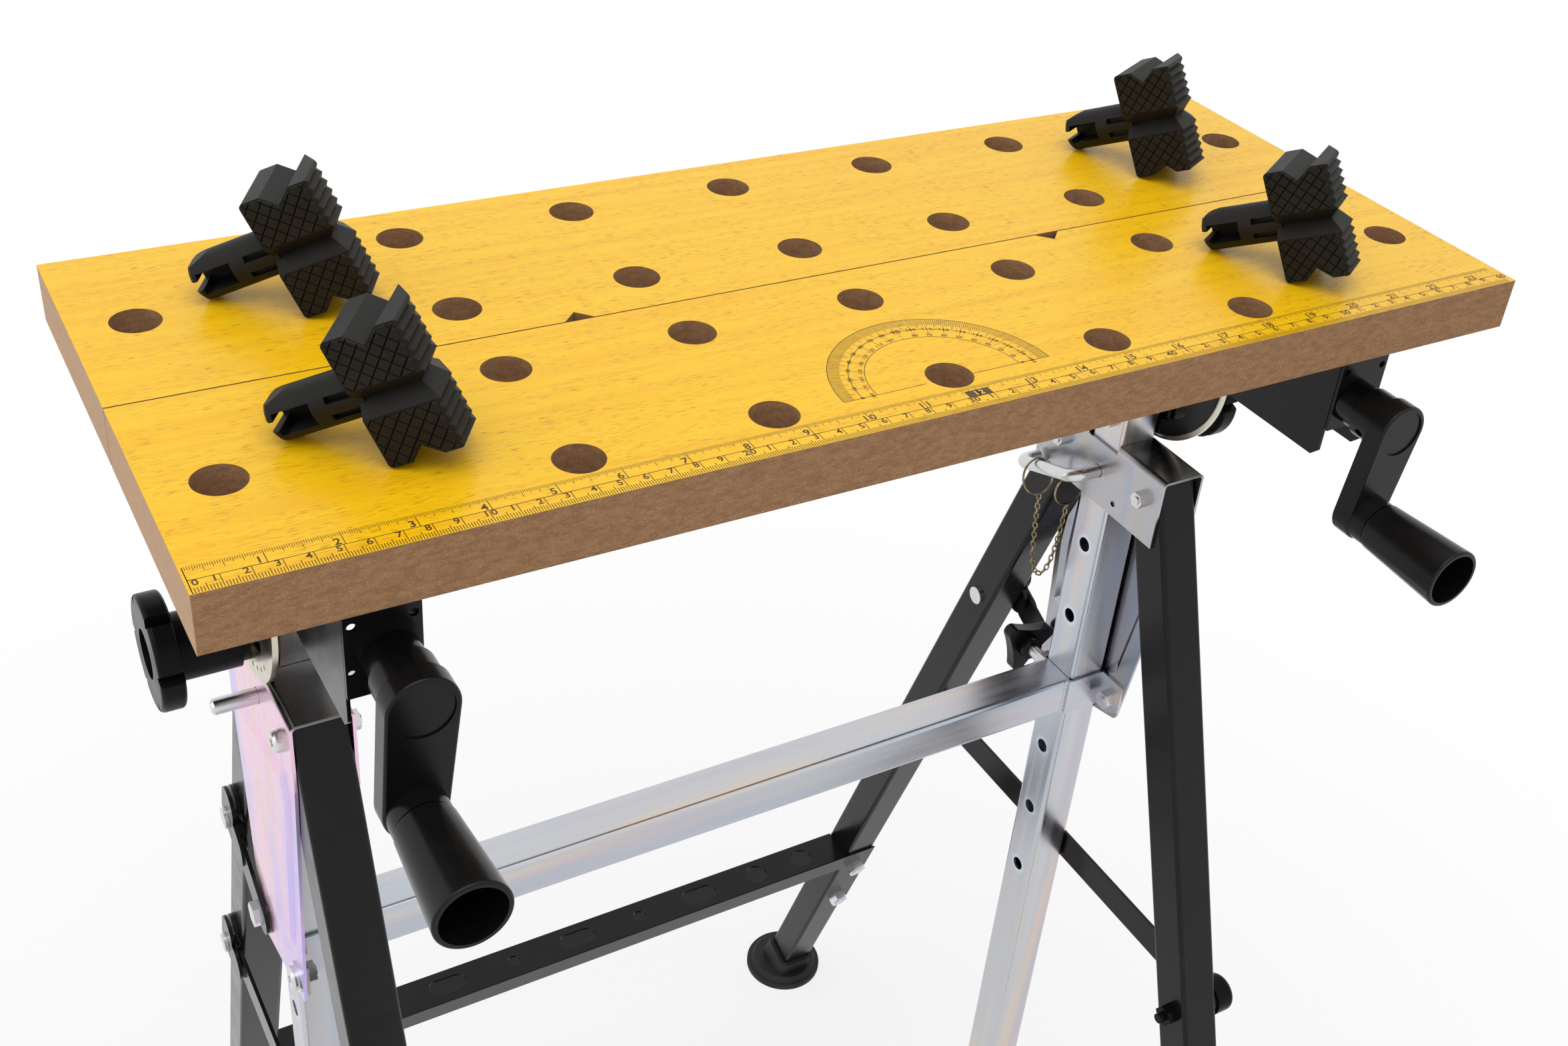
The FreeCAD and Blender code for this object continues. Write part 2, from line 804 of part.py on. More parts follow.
def crank_handle(side, lean):
    """Hollow conical handle, turning on the axle."""
    x = side * spindle_x
    end_z = spindle_z - arm_radius
    y1 = front_board_y - elbow_reach - run_gap
    y0 = front_board_y - handle_end
    length = y1 - y0
    start = vec(x, y1, end_z)
    down = vec(0, -1, 0)
    outer = Part.makeCone(handle_start_radius, handle_end_radius, length, start, down)
    rims = [edge for edge in outer.Edges if edge.Curve.TypeId == "Part::GeomCircle"]
    outer = outer.makeFillet(handle_round, rims)
    inner = Part.makeCone(handle_start_radius - handle_wall, handle_end_radius - handle_wall,
                          length, start, down)
    base = rod_y(y1 - socket_depth, y1, x, end_z, boss_radius)
    bore = rod_y(y0 - overrun, y1 + overrun, x, end_z, axle_radius + pin_gap)
    shell = outer.cut(inner.cut(base)).cut(bore)
    return lean_about(shell, side, lean)


# Column and upper bracket
def column():
    """Square column with a hole through it for each working height."""
    tube = square_tube(column_x - tube_half, column_x + tube_half, -tube_half, tube_half,
                       column_bottom, column_top, axis_z)
    x0 = column_x - tube_half - overrun
    x1 = column_x + tube_half + overrun
    cuts = [rod_x(x0, x1, 0, pin_z - hole_pitch * k, column_hole_radius) for k in range(hole_count)]
    cuts.append(rod_x(x0, x1, 0, bolt_z, tilt_bolt_radius + still_gap))
    cuts.append(rod_x(x0, x1, 0, tilt_z, pivot_radius + pin_gap))
    return tube.cut(cuts)


def emboss(x):
    """Panel pressed outward in the outer flange, with sloping sides."""
    corners = [(y, bracket_top - drop) for y, drop in emboss_corners]
    centre_y = sum(y for y, z in corners) / len(corners)
    centre_z = sum(z for y, z in corners) / len(corners)
    base = []
    crest = []
    for y, z in corners:
        away = math.hypot(y - centre_y, z - centre_z)
        share = 1 - emboss_slope / away
        base.append(vec(x, y, z))
        crest.append(vec(x + emboss_height, centre_y + (y - centre_y) * share,
                         centre_z + (z - centre_z) * share))
    return Part.makeLoft([outline_wire(base), outline_wire(crest)], True, True)


def upper_bracket():
    """Zinc bracket that holds both legs and guides the column."""
    outer = box(column_x - outer_half, column_x + outer_half, -bracket_front, bracket_rear,
                bracket_top - flange_foot_drop, bracket_top)
    high = lambda edge: edge.CenterOfMass.z > bracket_top - sheet
    outer = rounded(outer, bracket_bend, axis_y, high)
    inner = box(column_x - inner_half, column_x + inner_half, -bracket_front - overrun,
                bracket_rear + overrun, bracket_top - flange_foot_drop - overrun,
                bracket_top - sheet)
    under = lambda edge: edge.CenterOfMass.z > bracket_top - 2 * sheet
    inner = rounded(inner, bracket_bend - sheet, axis_y, under)
    outline = [
        (-bracket_front, bracket_top), (-bracket_front, bracket_top - flange_step_drop),
        (-flange_tip_y, bracket_top - flange_tip_drop),
        (flange_foot_y, bracket_top - flange_foot_drop),
        (flange_rear_low_y, bracket_top - flange_rear_low_drop),
        (bracket_rear, bracket_top - flange_rear_high_drop), (bracket_rear, bracket_top),
    ]
    outside = plate_x(column_x, column_x + outer_half, outline)
    outside = rounded(outside, rail_corner, axis_x,
                      lambda edge: edge.CenterOfMass.z < bracket_top - flange_step_drop - sheet)
    inside = box(column_x - outer_half, column_x, -bracket_front, bracket_rear,
                 bracket_top - inner_flange_drop, bracket_top)
    bracket = outer.cut(inner).common(union(outside, inside))
    bracket = union(bracket, emboss(column_x + outer_half))
    x0 = column_x - outer_half - overrun
    x1 = column_x + outer_half + overrun
    cuts = [
        emboss(column_x + inner_half),
        box(x0, column_x + inner_half, -inner_half, inner_half,
            bracket_top - window_drop, bracket_top + overrun),
        rod_x(x0, x1, 0, pin_z, pin_radius + run_gap),
        rod_x(x0, x1, -front_pivot_y, front_pivot_z, leg_screw_radius + still_gap),
        rod_x(x0, x1, rear_pivot_y, rear_pivot_z, leg_screw_radius + still_gap),
        rod_x(x0, column_x, -small_hole_y, small_hole_z, small_hole_radius),
        rod_x(x0, column_x, ring_hole_y, ring_hole_z, ring_hole_radius),
        rod_x(column_x, x1, -sleeve_bolt_y, sleeve_bolt_z, sleeve_bolt_radius + still_gap),
        rod_x(column_x, x1, brace_bolt_y, brace_bolt_z, brace_bolt_radius + still_gap),
    ]
    return bracket.cut(cuts)


def pan_head(x0, thick, y, z, radius):
    """Domed head with a cross recess."""
    x1 = x0 + thick
    head = rod_x(x0, x1, y, z, radius)
    rim = [edge for edge in head.Edges if abs(edge.CenterOfMass.x - x1) < thick / 4]
    head = head.makeFillet(thick / 2, rim)
    half = cross_length / 2
    thin = cross_width / 2
    return head.cut([box(x1 - cross_depth, x1 + overrun, y - half, y + half, z - thin, z + thin),
                     box(x1 - cross_depth, x1 + overrun, y - thin, y + thin, z - half, z + half)])


def pivot_screw(y, z):
    x0 = column_x - outer_half - lock_nut - screw_end
    x1 = column_x + outer_half
    washer = rod_x(x1, x1 + spring, y, z, spring_radius)
    head = pan_head(x1 + spring, pan_thick, y, z, pan_radius)
    return union(head, washer, rod_x(x0, x1, y, z, leg_screw_radius))


def pivot_nut(y, z):
    x0 = column_x - outer_half - lock_nut
    x1 = column_x - outer_half
    nut = hexagon(x0, x1, y, z, lock_nut_radius)
    return nut.cut(rod_x(x0 - overrun, x1 + overrun, y, z, leg_screw_radius + still_gap))


# Crossbar, sleeves and star knobs
def crossbar():
    reach = column_x - outer_half
    return square_tube(-reach, reach, -tube_half, tube_half, crossbar_z - tube_half,
                       crossbar_z + tube_half, axis_x)


def sleeve():
    """Bent sheet round the column, bolted to the bracket's outer flange."""
    z0 = crossbar_z - tube_half
    z1 = crossbar_z + tube_half
    ear_x = column_x + inner_half
    inner = box(column_x - outer_half, column_x - inner_half, -outer_half, outer_half, z0, z1)
    front = box(column_x - outer_half, ear_x, -outer_half, -inner_half, z0, z1)
    back = box(column_x - outer_half, ear_x, inner_half, outer_half, z0, z1)
    ear = plate_x(ear_x - sheet, ear_x, [(-outer_half, z1), (-sleeve_ear, z1),
                                         (-sleeve_ear, z0 + tube_half / 2), (-sleeve_point, z0),
                                         (-outer_half, z0)])
    body = union(inner, front, back, ear)
    stud_x = column_x - star_inset
    nut = hexagon(outer_half, outer_half + star_nut, 0, 0, star_nut_radius)
    nut.rotate(vec(0, 0, 0), axis_z, 90)
    nut.translate(vec(stud_x, 0, star_z))
    bolt = rod_x(ear_x - sheet - overrun, ear_x + overrun, -sleeve_bolt_y, sleeve_bolt_z,
                 sleeve_bolt_radius + still_gap)
    bore = rod_y(inner_half - overrun, outer_half + star_nut + overrun, stud_x, star_z,
                 star_stud_radius + run_gap)
    return cut(union(body, nut), bolt, bore)


def sleeve_bolt():
    """Pan head screw with its washer outside and its nut inside."""
    face = column_x + outer_half
    back = column_x + inner_half - sheet
    y = -sleeve_bolt_y
    z = sleeve_bolt_z
    washer = rod_x(face, face + sleeve_washer, y, z, sleeve_washer_radius)
    head = pan_head(face + sleeve_washer, sleeve_head, y, z, sleeve_head_radius)
    shank = rod_x(back - sleeve_nut - screw_end, face, y, z, sleeve_bolt_radius)
    nut = hexagon(back - sleeve_nut, back, y, z, sleeve_nut_radius)
    return union(shank, washer, head, nut)


def star_outline(x):
    """Three round tips joined by hollow sides."""
    def at(centre, radius, turn):
        return centre.add(vec(radius * math.cos(turn), 0, radius * math.sin(turn)))

    middle = vec(x, star_start, star_z)
    step = 2 * math.pi / star_points
    open_turn = math.radians(star_tip_turn)
    edges = []
    for k in range(star_points):
        turn = math.radians(star_turn) + step * k
        tip = at(middle, star_radius - star_tip_radius, turn)
        after = at(middle, star_radius - star_tip_radius, turn + step)
        first = at(tip, star_tip_radius, turn - open_turn)
        last = at(tip, star_tip_radius, turn + open_turn)
        ahead = at(after, star_tip_radius, turn + step - open_turn)
        edges.append(Part.Arc(first, at(tip, star_tip_radius, turn), last).toShape())
        edges.append(Part.Arc(last, at(middle, star_valley, turn + step / 2), ahead).toShape())
    return Part.Wire(edges)


def star_knob():
    """Three-pointed knob with the clamping stud that bears on the column."""
    x = column_x - star_inset
    body = Part.Face(star_outline(x)).extrude(vec(0, star_end - star_start, 0))
    rims = [edge for edge in body.Edges if abs(edge.CenterOfMass.y - star_end) < run_gap]
    body = body.makeFillet(star_round, rims)
    boss = rod_y(star_hub, star_start + run_gap, x, star_z, star_boss_radius)
    stud = rod_y(inner_half, star_hub + run_gap, x, star_z, star_stud_radius)
    return union(body, boss, stud)


# Locking pins with rings and chain
def locking_pin():
    """Steel pin through bracket and column, bent into a U handle inboard."""
    droop = math.radians(pin_droop_angle)
    corner = vec(pin_handle_x, 0, pin_z)
    far = corner.add(vec(0, pin_handle_run * math.cos(droop), -pin_handle_run * math.sin(droop)))
    tip = far.add(vec(pin_return, 0, 0))
    start = vec(pin_end_x - pin_chamfer, 0, pin_z)
    path = round_path([start, corner, far, tip], [pin_bend, pin_bend])
    bar = tube_along(path, pin_radius, axis_x)
    nose = Part.makeCone(pin_radius, pin_radius - pin_chamfer, pin_chamfer, start, axis_x)
    return union(bar, nose)


def chain_points():
    """From the handle's ring down, round the low point and up to the bracket's ring."""
    droop = math.radians(pin_droop_angle)
    hang = pin_radius + ring_wire + chain_gap
    drop = vec(0, -math.sin(droop), -math.cos(droop)) * (ring_radius - hang)
    on_bar = vec(pin_handle_x, ring_hang_y, pin_z - ring_hang_y * math.tan(droop))
    first = on_bar.add(drop)
    second = vec(column_x - outer_half + sheet / 2, ring_hole_y,
                 ring_hole_z - ring_radius + ring_wire + chain_gap)
    return first, second


def pin_chain():
    """Two split rings and the chain between them."""
    droop = math.radians(pin_droop_angle)
    first, second = chain_points()
    bar_way = vec(0, math.cos(droop), -math.sin(droop))
    one = ring(first, bar_way, ring_radius, ring_wire)
    two = ring(second, axis_y, ring_radius, ring_wire)
    gap = ring_radius + ring_wire + chain_gap
    start = first.add(vec(0, -math.sin(droop), -math.cos(droop)) * gap)
    end = second.add(vec(0, 0, -gap))
    low_z = start.z - chain_drop
    span = end.sub(start)
    sway = vec(-chain_sway, chain_sway, 0)
    points = [start, vec(start.x, start.y, (start.z + low_z) / 2).add(sway),
              vec(start.x + span.x * low_share, start.y + span.y * low_share, low_z),
              vec(end.x - span.x * low_share, end.y - span.y * low_share, low_z + chain_sway),
              vec(end.x, end.y, (end.z + low_z) / 2).sub(sway), end]
    radii = []
    for k in range(1, len(points) - 1):
        back = points[k - 1].sub(points[k])
        ahead = points[k + 1].sub(points[k])
        shorter = min(back.Length, ahead.Length)
        turn = math.pi - back.getAngle(ahead)
        radii.append(0.45 * shorter / math.tan(turn / 2))
    path = round_path(points, radii)
    way = points[1].sub(points[0])
    return [one, two, tube_along(path, chain_radius, way)]


# Legs and feet
def leg(sign, pivot_y, pivot_z, slope, holes):
    """Sloping square leg, drawn upright under its pivot and turned about it."""
    length = pivot_z / math.cos(slope) - leg_end_gap
    tube = square_tube(column_x - tube_half, column_x + tube_half, pivot_y - tube_half,
                       pivot_y + tube_half, pivot_z - length, pivot_z + leg_top, axis_z)
    cuts = [rod_x(column_x - tube_half - overrun, column_x + tube_half + overrun, pivot_y,
                  pivot_z - depth, radius) for depth, radius in holes]
    return turned(tube.cut(cuts), sign * slope, pivot_y, pivot_z)


def along_leg(pivot_z, slope, z):
    return (pivot_z - z) / math.cos(slope)


def front_leg():
    knob = along_leg(front_pivot_z, front_slope, lower_front_z)
    holes = [(0, leg_screw_radius + pin_gap), (knob, dome_stud_radius + still_gap)]
    return leg(-1, -front_pivot_y, front_pivot_z, front_slope, holes)


def rear_leg():
    holes = [(0, leg_screw_radius + pin_gap)]
    for z in (upper_rivet_z, lower_rivet_z):
        holes.append((along_leg(rear_pivot_z, rear_slope, z), rivet_radius + still_gap))
    tube = leg(1, rear_pivot_y, rear_pivot_z, rear_slope, holes)
    return tube.cut([step_bolt_hole(z) for z in (step_bolt_high_z, step_bolt_low_z)])


def foot(sign, pivot_y, pivot_z, slope):
    """Flared rubber foot with a square socket on the leg's end."""
    length = pivot_z / math.cos(slope)
    foot_y = pivot_y + sign * pivot_z * math.tan(slope)
    edge = rod_z(0, foot_edge, column_x, foot_y, foot_radius)
    rim = [e for e in edge.Edges if abs(e.CenterOfMass.z - foot_edge) < foot_round / 2]
    edge = edge.makeFillet(foot_round, rim)
    flare = Part.makeCone(foot_radius - 2 * foot_round, foot_flare_radius, foot_flare,
                          vec(column_x, foot_y, foot_edge), axis_z)
    half = tube_half + foot_wall
    socket = box(column_x - half, column_x + half, pivot_y - half, pivot_y + half,
                 pivot_z - length, pivot_z - length + foot_collar)
    socket = rounded(socket, tube_corner + foot_wall, axis_z)
    inner_size = tube_half + still_gap
    room = box(column_x - inner_size, column_x + inner_size, pivot_y - inner_size,
               pivot_y + inner_size, pivot_z - length + leg_end_gap,
               pivot_z - length + foot_collar + overrun)
    room = rounded(room, tube_corner, axis_z)
    socket = turned(socket, sign * slope, pivot_y, pivot_z)
    room = turned(room, sign * slope, pivot_y, pivot_z)
    below = box(column_x - foot_radius, column_x + foot_radius, foot_y - foot_radius,
                foot_y + foot_radius, -foot_radius, 0)
    return cut(union(edge, flare, socket), room, below)


# Foot step and its bolts, drawn with the rear legs
def rear_y(z):
    return rear_pivot_y + (rear_pivot_z - z) * rear_slope_share


def step_place(shape):
    """From the upright drawing at the pivot to the sloping rear leg."""
    return turned(shape, rear_slope, rear_pivot_y, rear_pivot_z)


def step_bolt_hole(z):
    depth = along_leg(rear_pivot_z, rear_slope, z)
    hole = rod_y(rear_pivot_y - tube_half - 2 * overrun, rear_pivot_y + tube_half + 2 * overrun,
                 column_x, rear_pivot_z - depth, step_bolt_radius + still_gap)
    return step_place(hole)


def step_bolt(z):
    depth = along_leg(rear_pivot_z, rear_slope, z)
    zc = rear_pivot_z - depth
    front = rear_pivot_y - tube_half - sheet
    back = rear_pivot_y + tube_half
    nut = hexagon(front - step_nut, front, 0, 0, step_nut_radius)
    nut.rotate(vec(0, 0, 0), axis_z, 90)
    nut.translate(vec(column_x, 0, zc))
    shank = rod_y(front - step_nut - screw_end, back, column_x, zc, step_bolt_radius)
    head = rod_y(back, back + step_head, column_x, zc, step_head_radius)
    return step_place(union(nut, shank, head))


def oblong(x, y, length, width, z0, z1):
    half = (length - width) / 2
    middle = box(x - half, x + half, y - width / 2, y + width / 2, z0, z1)
    return union(middle, rod_z(z0, z1, x - half, y, width / 2), rod_z(z0, z1, x + half, y, width / 2))


def foot_step():
    """Black step channel: holed web, front flange and its tabs on the legs."""
    face = rear_pivot_y - tube_half
    top = rear_pivot_z - along_leg(rear_pivot_z, rear_slope, step_top)
    top = top + tube_half * math.tan(rear_slope)
    low = rear_pivot_z - along_leg(rear_pivot_z, rear_slope, step_tab_bottom)
    outer = column_x + tube_half
    inner = column_x - tube_half
    flange = box(-outer, outer, face - sheet, face, top - step_flange, top)
    flange = union(flange, box(inner, outer, face - sheet, face, low, top),
                   box(-outer, -inner, face - sheet, face, low, top))
    flange = rounded(flange, rail_corner, axis_y,
                     lambda edge: edge.CenterOfMass.z < top - step_flange / 2)
    flange = step_place(flange)
    lean = tube_half / math.cos(rear_slope)
    y0 = rear_y(step_top) - lean - sheet / 2
    y1 = rear_y(step_top) + lean
    reach = inner - run_gap
    web = box(-reach, reach, y0, y1, step_top - sheet, step_top)
    back = box(-reach, reach, y1 - sheet, y1, step_top - step_rear_flange, step_top)
    middle = (y0 + y1) / 2
    z0 = step_top - sheet - overrun
    z1 = step_top + overrun
    cuts = [oblong(0, middle, step_oblong_length, step_oblong_width, z0, z1)]
    for side in (-1, 1):
        cuts.append(rod_z(z0, z1, side * step_small_x, middle, step_small_radius))
        cuts.append(oblong(side * step_oblong_x, middle, step_oblong_length, step_oblong_width, z0, z1))
        cuts.append(rod_z(z0, z1, side * step_large_x, middle, step_large_radius))
        cuts.append(rod_z(z0, z1, side * step_last_x, middle, step_large_radius))
        for z in (step_bolt_high_z, step_bolt_low_z):
            hole = step_bolt_hole(z)
            if side < 0:
                hole = hole.mirror(vec(0, 0, 0), axis_x)
            cuts.append(hole)
    return union(flange, web, back).cut(cuts)


# Braces
def strip(x0, x1, p, q, tail):
    """Flat strip between two (y, z) points, with round ends; tail runs past the second."""
    along_y = q[0] - p[0]
    along_z = q[1] - p[1]
    length = math.hypot(along_y, along_z)
    uy = along_y / length
    uz = along_z / length
    half = strip_width / 2
    far = (q[0] + uy * (tail - half), q[1] + uz * (tail - half))
    side_y = -uz * half
    side_z = uy * half
    points = [(p[0] + side_y, p[1] + side_z), (far[0] + side_y, far[1] + side_z),
              (far[0] - side_y, far[1] - side_z), (p[0] - side_y, p[1] - side_z)]
    return union(plate_x(x0, x1, points), rod_x(x0, x1, far[0], far[1], half),
                 rod_x(x0, x1, p[0], p[1], half))


def brace(rivet, end, strip_from, tail, end_radius):
    """Strip whose rear end forks into two tabs that rise along the leg."""
    way_y = end[0] - rivet[0]
    way_z = end[1] - rivet[1]
    length = math.hypot(way_y, way_z)
    half = strip_width / 2

    def ahead(reach):
        return (rivet[0] + way_y * reach / length, rivet[1] + way_z * reach / length)

    rise = (rivet[0] - tab_rise * math.sin(rear_slope), rivet[1] + tab_rise * math.cos(rear_slope))
    x_in = column_x + tab_inner_from
    x_out = column_x + tab_outer_from
    x_main = column_x + strip_from
    parts = [strip(x_main, x_main + strip_thick, ahead(2 * half), end, tail)]
    for x, reach in ((x_in, half), (x_out, fork_reach - half)):
        parts.append(strip(x, x + strip_thick, rivet, ahead(reach), half))
        parts.append(strip(x, x + strip_thick, rivet, rise, half))
    joint = ahead(half)
    bridge = rod_x(x_in, x_out + strip_thick, joint[0], joint[1], half)
    parts.append(bridge.cut(rod_x(x_in - overrun, x_out + strip_thick + overrun, rivet[0], rivet[1],
                                  rivet_washer_radius + fork_clear)))
    holes = [
        rod_x(x_in - overrun, x_out + strip_thick + overrun, rivet[0], rivet[1],
              rivet_radius + pin_gap),
        rod_x(x_in - overrun, x_out + strip_thick + overrun, end[0], end[1],
              end_radius + still_gap),
    ]
    return union(*parts).cut(holes)


def lower_ends():
    rivet = (rear_y(lower_rivet_z), lower_rivet_z)
    front = (-front_pivot_y - (front_pivot_z - lower_front_z) * front_slope_share, lower_front_z)
    return rivet, front


def lower_brace():
    rivet, front = lower_ends()
    return brace(rivet, front, lower_strip_from, strip_width / 2, dome_stud_radius + run_gap)


def upper_brace():
    rivet = (rear_y(upper_rivet_z), upper_rivet_z)
    return brace(rivet, (brace_bolt_y, brace_bolt_z), upper_strip_from, strip_tail, brace_bolt_radius)


def brace_rivet(z):
    """Rivet through the leg and both tabs, with the washer between the tabs."""
    y = rear_y(z)
    x0 = column_x - tube_half
    x_in = column_x + tab_inner_from + strip_thick
    x_out = column_x + tab_outer_from
    x1 = x_out + strip_thick
    return union(rod_x(x0 - rivet_head, x1 + pin_gap + rivet_head, y, z, rivet_radius),
                 rod_x(x0 - rivet_head, x0, y, z, rivet_head_radius),
                 rod_x(x_in + pin_gap, x_out - pin_gap, y, z, rivet_washer_radius),
                 rod_x(x1 + pin_gap, x1 + pin_gap + rivet_head, y, z, rivet_head_radius))


def brace_bolt():
    x0 = column_x + outer_half + run_gap
    x1 = column_x + upper_strip_from + strip_thick
    shank = rod_x(x0, x1, brace_bolt_y, brace_bolt_z, brace_bolt_radius)
    return union(shank, hexagon(x1, x1 + brace_hex, brace_bolt_y, brace_bolt_z, brace_hex_radius))


def brace_knob():
    """Domed knob outside the lower brace, with its stud."""
    y, z = lower_ends()[1]
    x0 = column_x + tube_half + run_gap
    x1 = column_x + lower_strip_from + strip_thick + run_gap
    dome = rod_x(x1, x1 + dome_height, y, z, dome_radius)
    rim = [edge for edge in dome.Edges if abs(edge.CenterOfMass.x - x1 - dome_height) < dome_fillet / 2]
    dome = dome.makeFillet(dome_fillet, rim)
    return union(dome, rod_x(x0, x1, y, z, dome_stud_radius))


def leg_nut_stud():
    """Black nut and stud end on the front leg's inner face."""
    y, z = lower_ends()[1]
    x0 = column_x - tube_half
    nut = hexagon(x0 - leg_nut, x0, y, z, leg_nut_radius)
    return union(nut, rod_x(x0 - leg_nut - stud_end, column_x + tube_half, y, z, dome_stud_radius))


# Swivel grips
def full_depth(points):
    """Cut across the rib face, first straight and then along its slope; points are (x, z)."""
    slope = vec(grip_far_thick - grip_thick, grip_depth - grip_part, 0)
    return [prism([vec(x, -overrun, z) for x, z in points], vec(0, grip_part + overrun, 0)),
            prism([vec(x, grip_part, z) for x, z in points], slope * 1.5)]


def grip_head():
    """Head in its own frame: X along the peg, Y into the depth, Z across."""
    head = rounded(box(0, grip_thick, 0, grip_depth, -grip_half, grip_half), grip_round, axis_y)
    slant = [vec(grip_thick, grip_part, -grip_half), vec(grip_thick, grip_depth, -grip_half),
             vec(grip_far_thick, grip_depth, -grip_half)]
    head = head.cut(prism(slant, vec(0, 0, 2 * grip_half)))
    cuts = []
    for side in (-1, 1):
        z = side * grip_half
        points = [(grip_notch_from, z), (grip_notch_to, z),
                  (grip_notch_bottom, z - side * grip_notch_depth)]
        cuts.append(plate_y(-overrun, grip_depth + overrun, points))
    step = (grip_half - grip_groove - rib_edge) / rib_count
    for start in (grip_groove, -grip_half + rib_edge):
        for k in range(rib_count):
            z0 = start + step * k
            cuts += full_depth([(grip_thick, z0), (grip_thick, z0 + step),
                                (grip_thick - rib_depth, z0 + step * rib_valley_share)])
    cuts += full_depth([(grip_thick, -grip_groove), (grip_thick, grip_groove),
                        (grip_thick - grip_groove, 0)])
    for y, side in ((0, 1), (grip_depth, -1)):
        cuts.append(prism([vec(-overrun, y, -grip_groove), vec(-overrun, y, grip_groove),
                           vec(-overrun, y + side * grip_groove, 0)],
                          vec(grip_thick + 2 * overrun, 0, 0)))
    return head.cut(cuts)


def peg_box(x0, x1, floor, half, z=0):
    return box(x0, x1, -peg_radius - overrun, floor, z - half, z + half)


def grip_peg():
    """Round peg, slotted near the head and open along its front to a hooked mouth."""
    rod = rod_x(peg_tip - peg_length, overrun, 0, 0, peg_radius)
    tip = Part.makeCone(peg_radius, peg_radius - peg_tip, peg_tip, vec(peg_tip - peg_length, 0, 0),
                        vec(-1, 0, 0))
    cuts = [
        peg_box(peg_hook - peg_length, -peg_channel, peg_channel_floor, peg_channel_width / 2),
        peg_box(-peg_length - overrun, peg_hook - peg_length, peg_channel_floor, peg_mouth / 2),
    ]
    for side in (-1, 1):
        cuts.append(peg_box(-peg_slot_length, 0, -peg_radius + peg_slot_depth, peg_slot_width / 2,
                            side * peg_slot_spread))
    top = peg_radius
    cuts.append(plate_y(-peg_radius, peg_radius,
                        [(-peg_length, top), (-peg_length, top - peg_slope_height),
                         (peg_slope_length - peg_length, top)]))
    peg = union(rod, tip).cut(cuts)
    peg.translate(vec(0, peg_depth, 0))
    return peg


def swivel_grip(place):
    """Grip lying on the board on one corner of its head and the end of its peg."""
    x, y, azimuth = place
    turn = math.radians(azimuth)
    tilt = math.atan((grip_half - peg_radius) / (peg_length - peg_tip))
    shape = union(grip_head(), grip_peg())
    v = vec(math.cos(turn) * math.cos(tilt), math.sin(turn) * math.cos(tilt), math.sin(tilt))
    d = vec(-math.sin(turn), math.cos(turn), 0)
    u = vec(-math.cos(turn) * math.sin(tilt), -math.sin(turn) * math.sin(tilt), math.cos(tilt))
    corner = vec(x - board_length / 2, y + front_board_y, board_top)
    origin = corner.add(u * grip_half)
    matrix = FreeCAD.Matrix(v.x, d.x, u.x, origin.x, v.y, d.y, u.y, origin.y,
                            v.z, d.z, u.z, origin.z, 0, 0, 0, 1)
    shape = placed(shape, matrix)
    lift = board_top - shape.BoundBox.ZMin
    shape.translate(vec(0, 0, lift))
    return shape


def placed(shape, matrix):
    copy = shape.copy()
    copy.Placement = FreeCAD.Placement(matrix)
    return copy


# Export
def both(shape):
    return [shape, shape.mirror(vec(0, 0, 0), axis_x)]


def save(name, shapes):
    """Write one node, moved so that the feet are centred on the origin."""
    solids = []
    for shape in shapes if isinstance(shapes, list) else [shapes]:
        for solid in shape.Solids:
            copy = solid.copy()
            copy.translate(vec(0, column_y, 0))
            if not copy.isValid():
                print("not valid:", name)
            solids.append(copy)
    result = solids[0] if len(solids) == 1 else Part.makeCompound(solids)
    result.exportStep("parts/%s.step" % name)
    print(name, len(solids), round(sum(s.Volume for s in solids)))


def pair(name, shapes):
    shapes = shapes if isinstance(shapes, list) else [shapes]
    save(name + "_right", shapes)
    save(name + "_left", [shape.mirror(vec(0, 0, 0), axis_x) for shape in shapes])


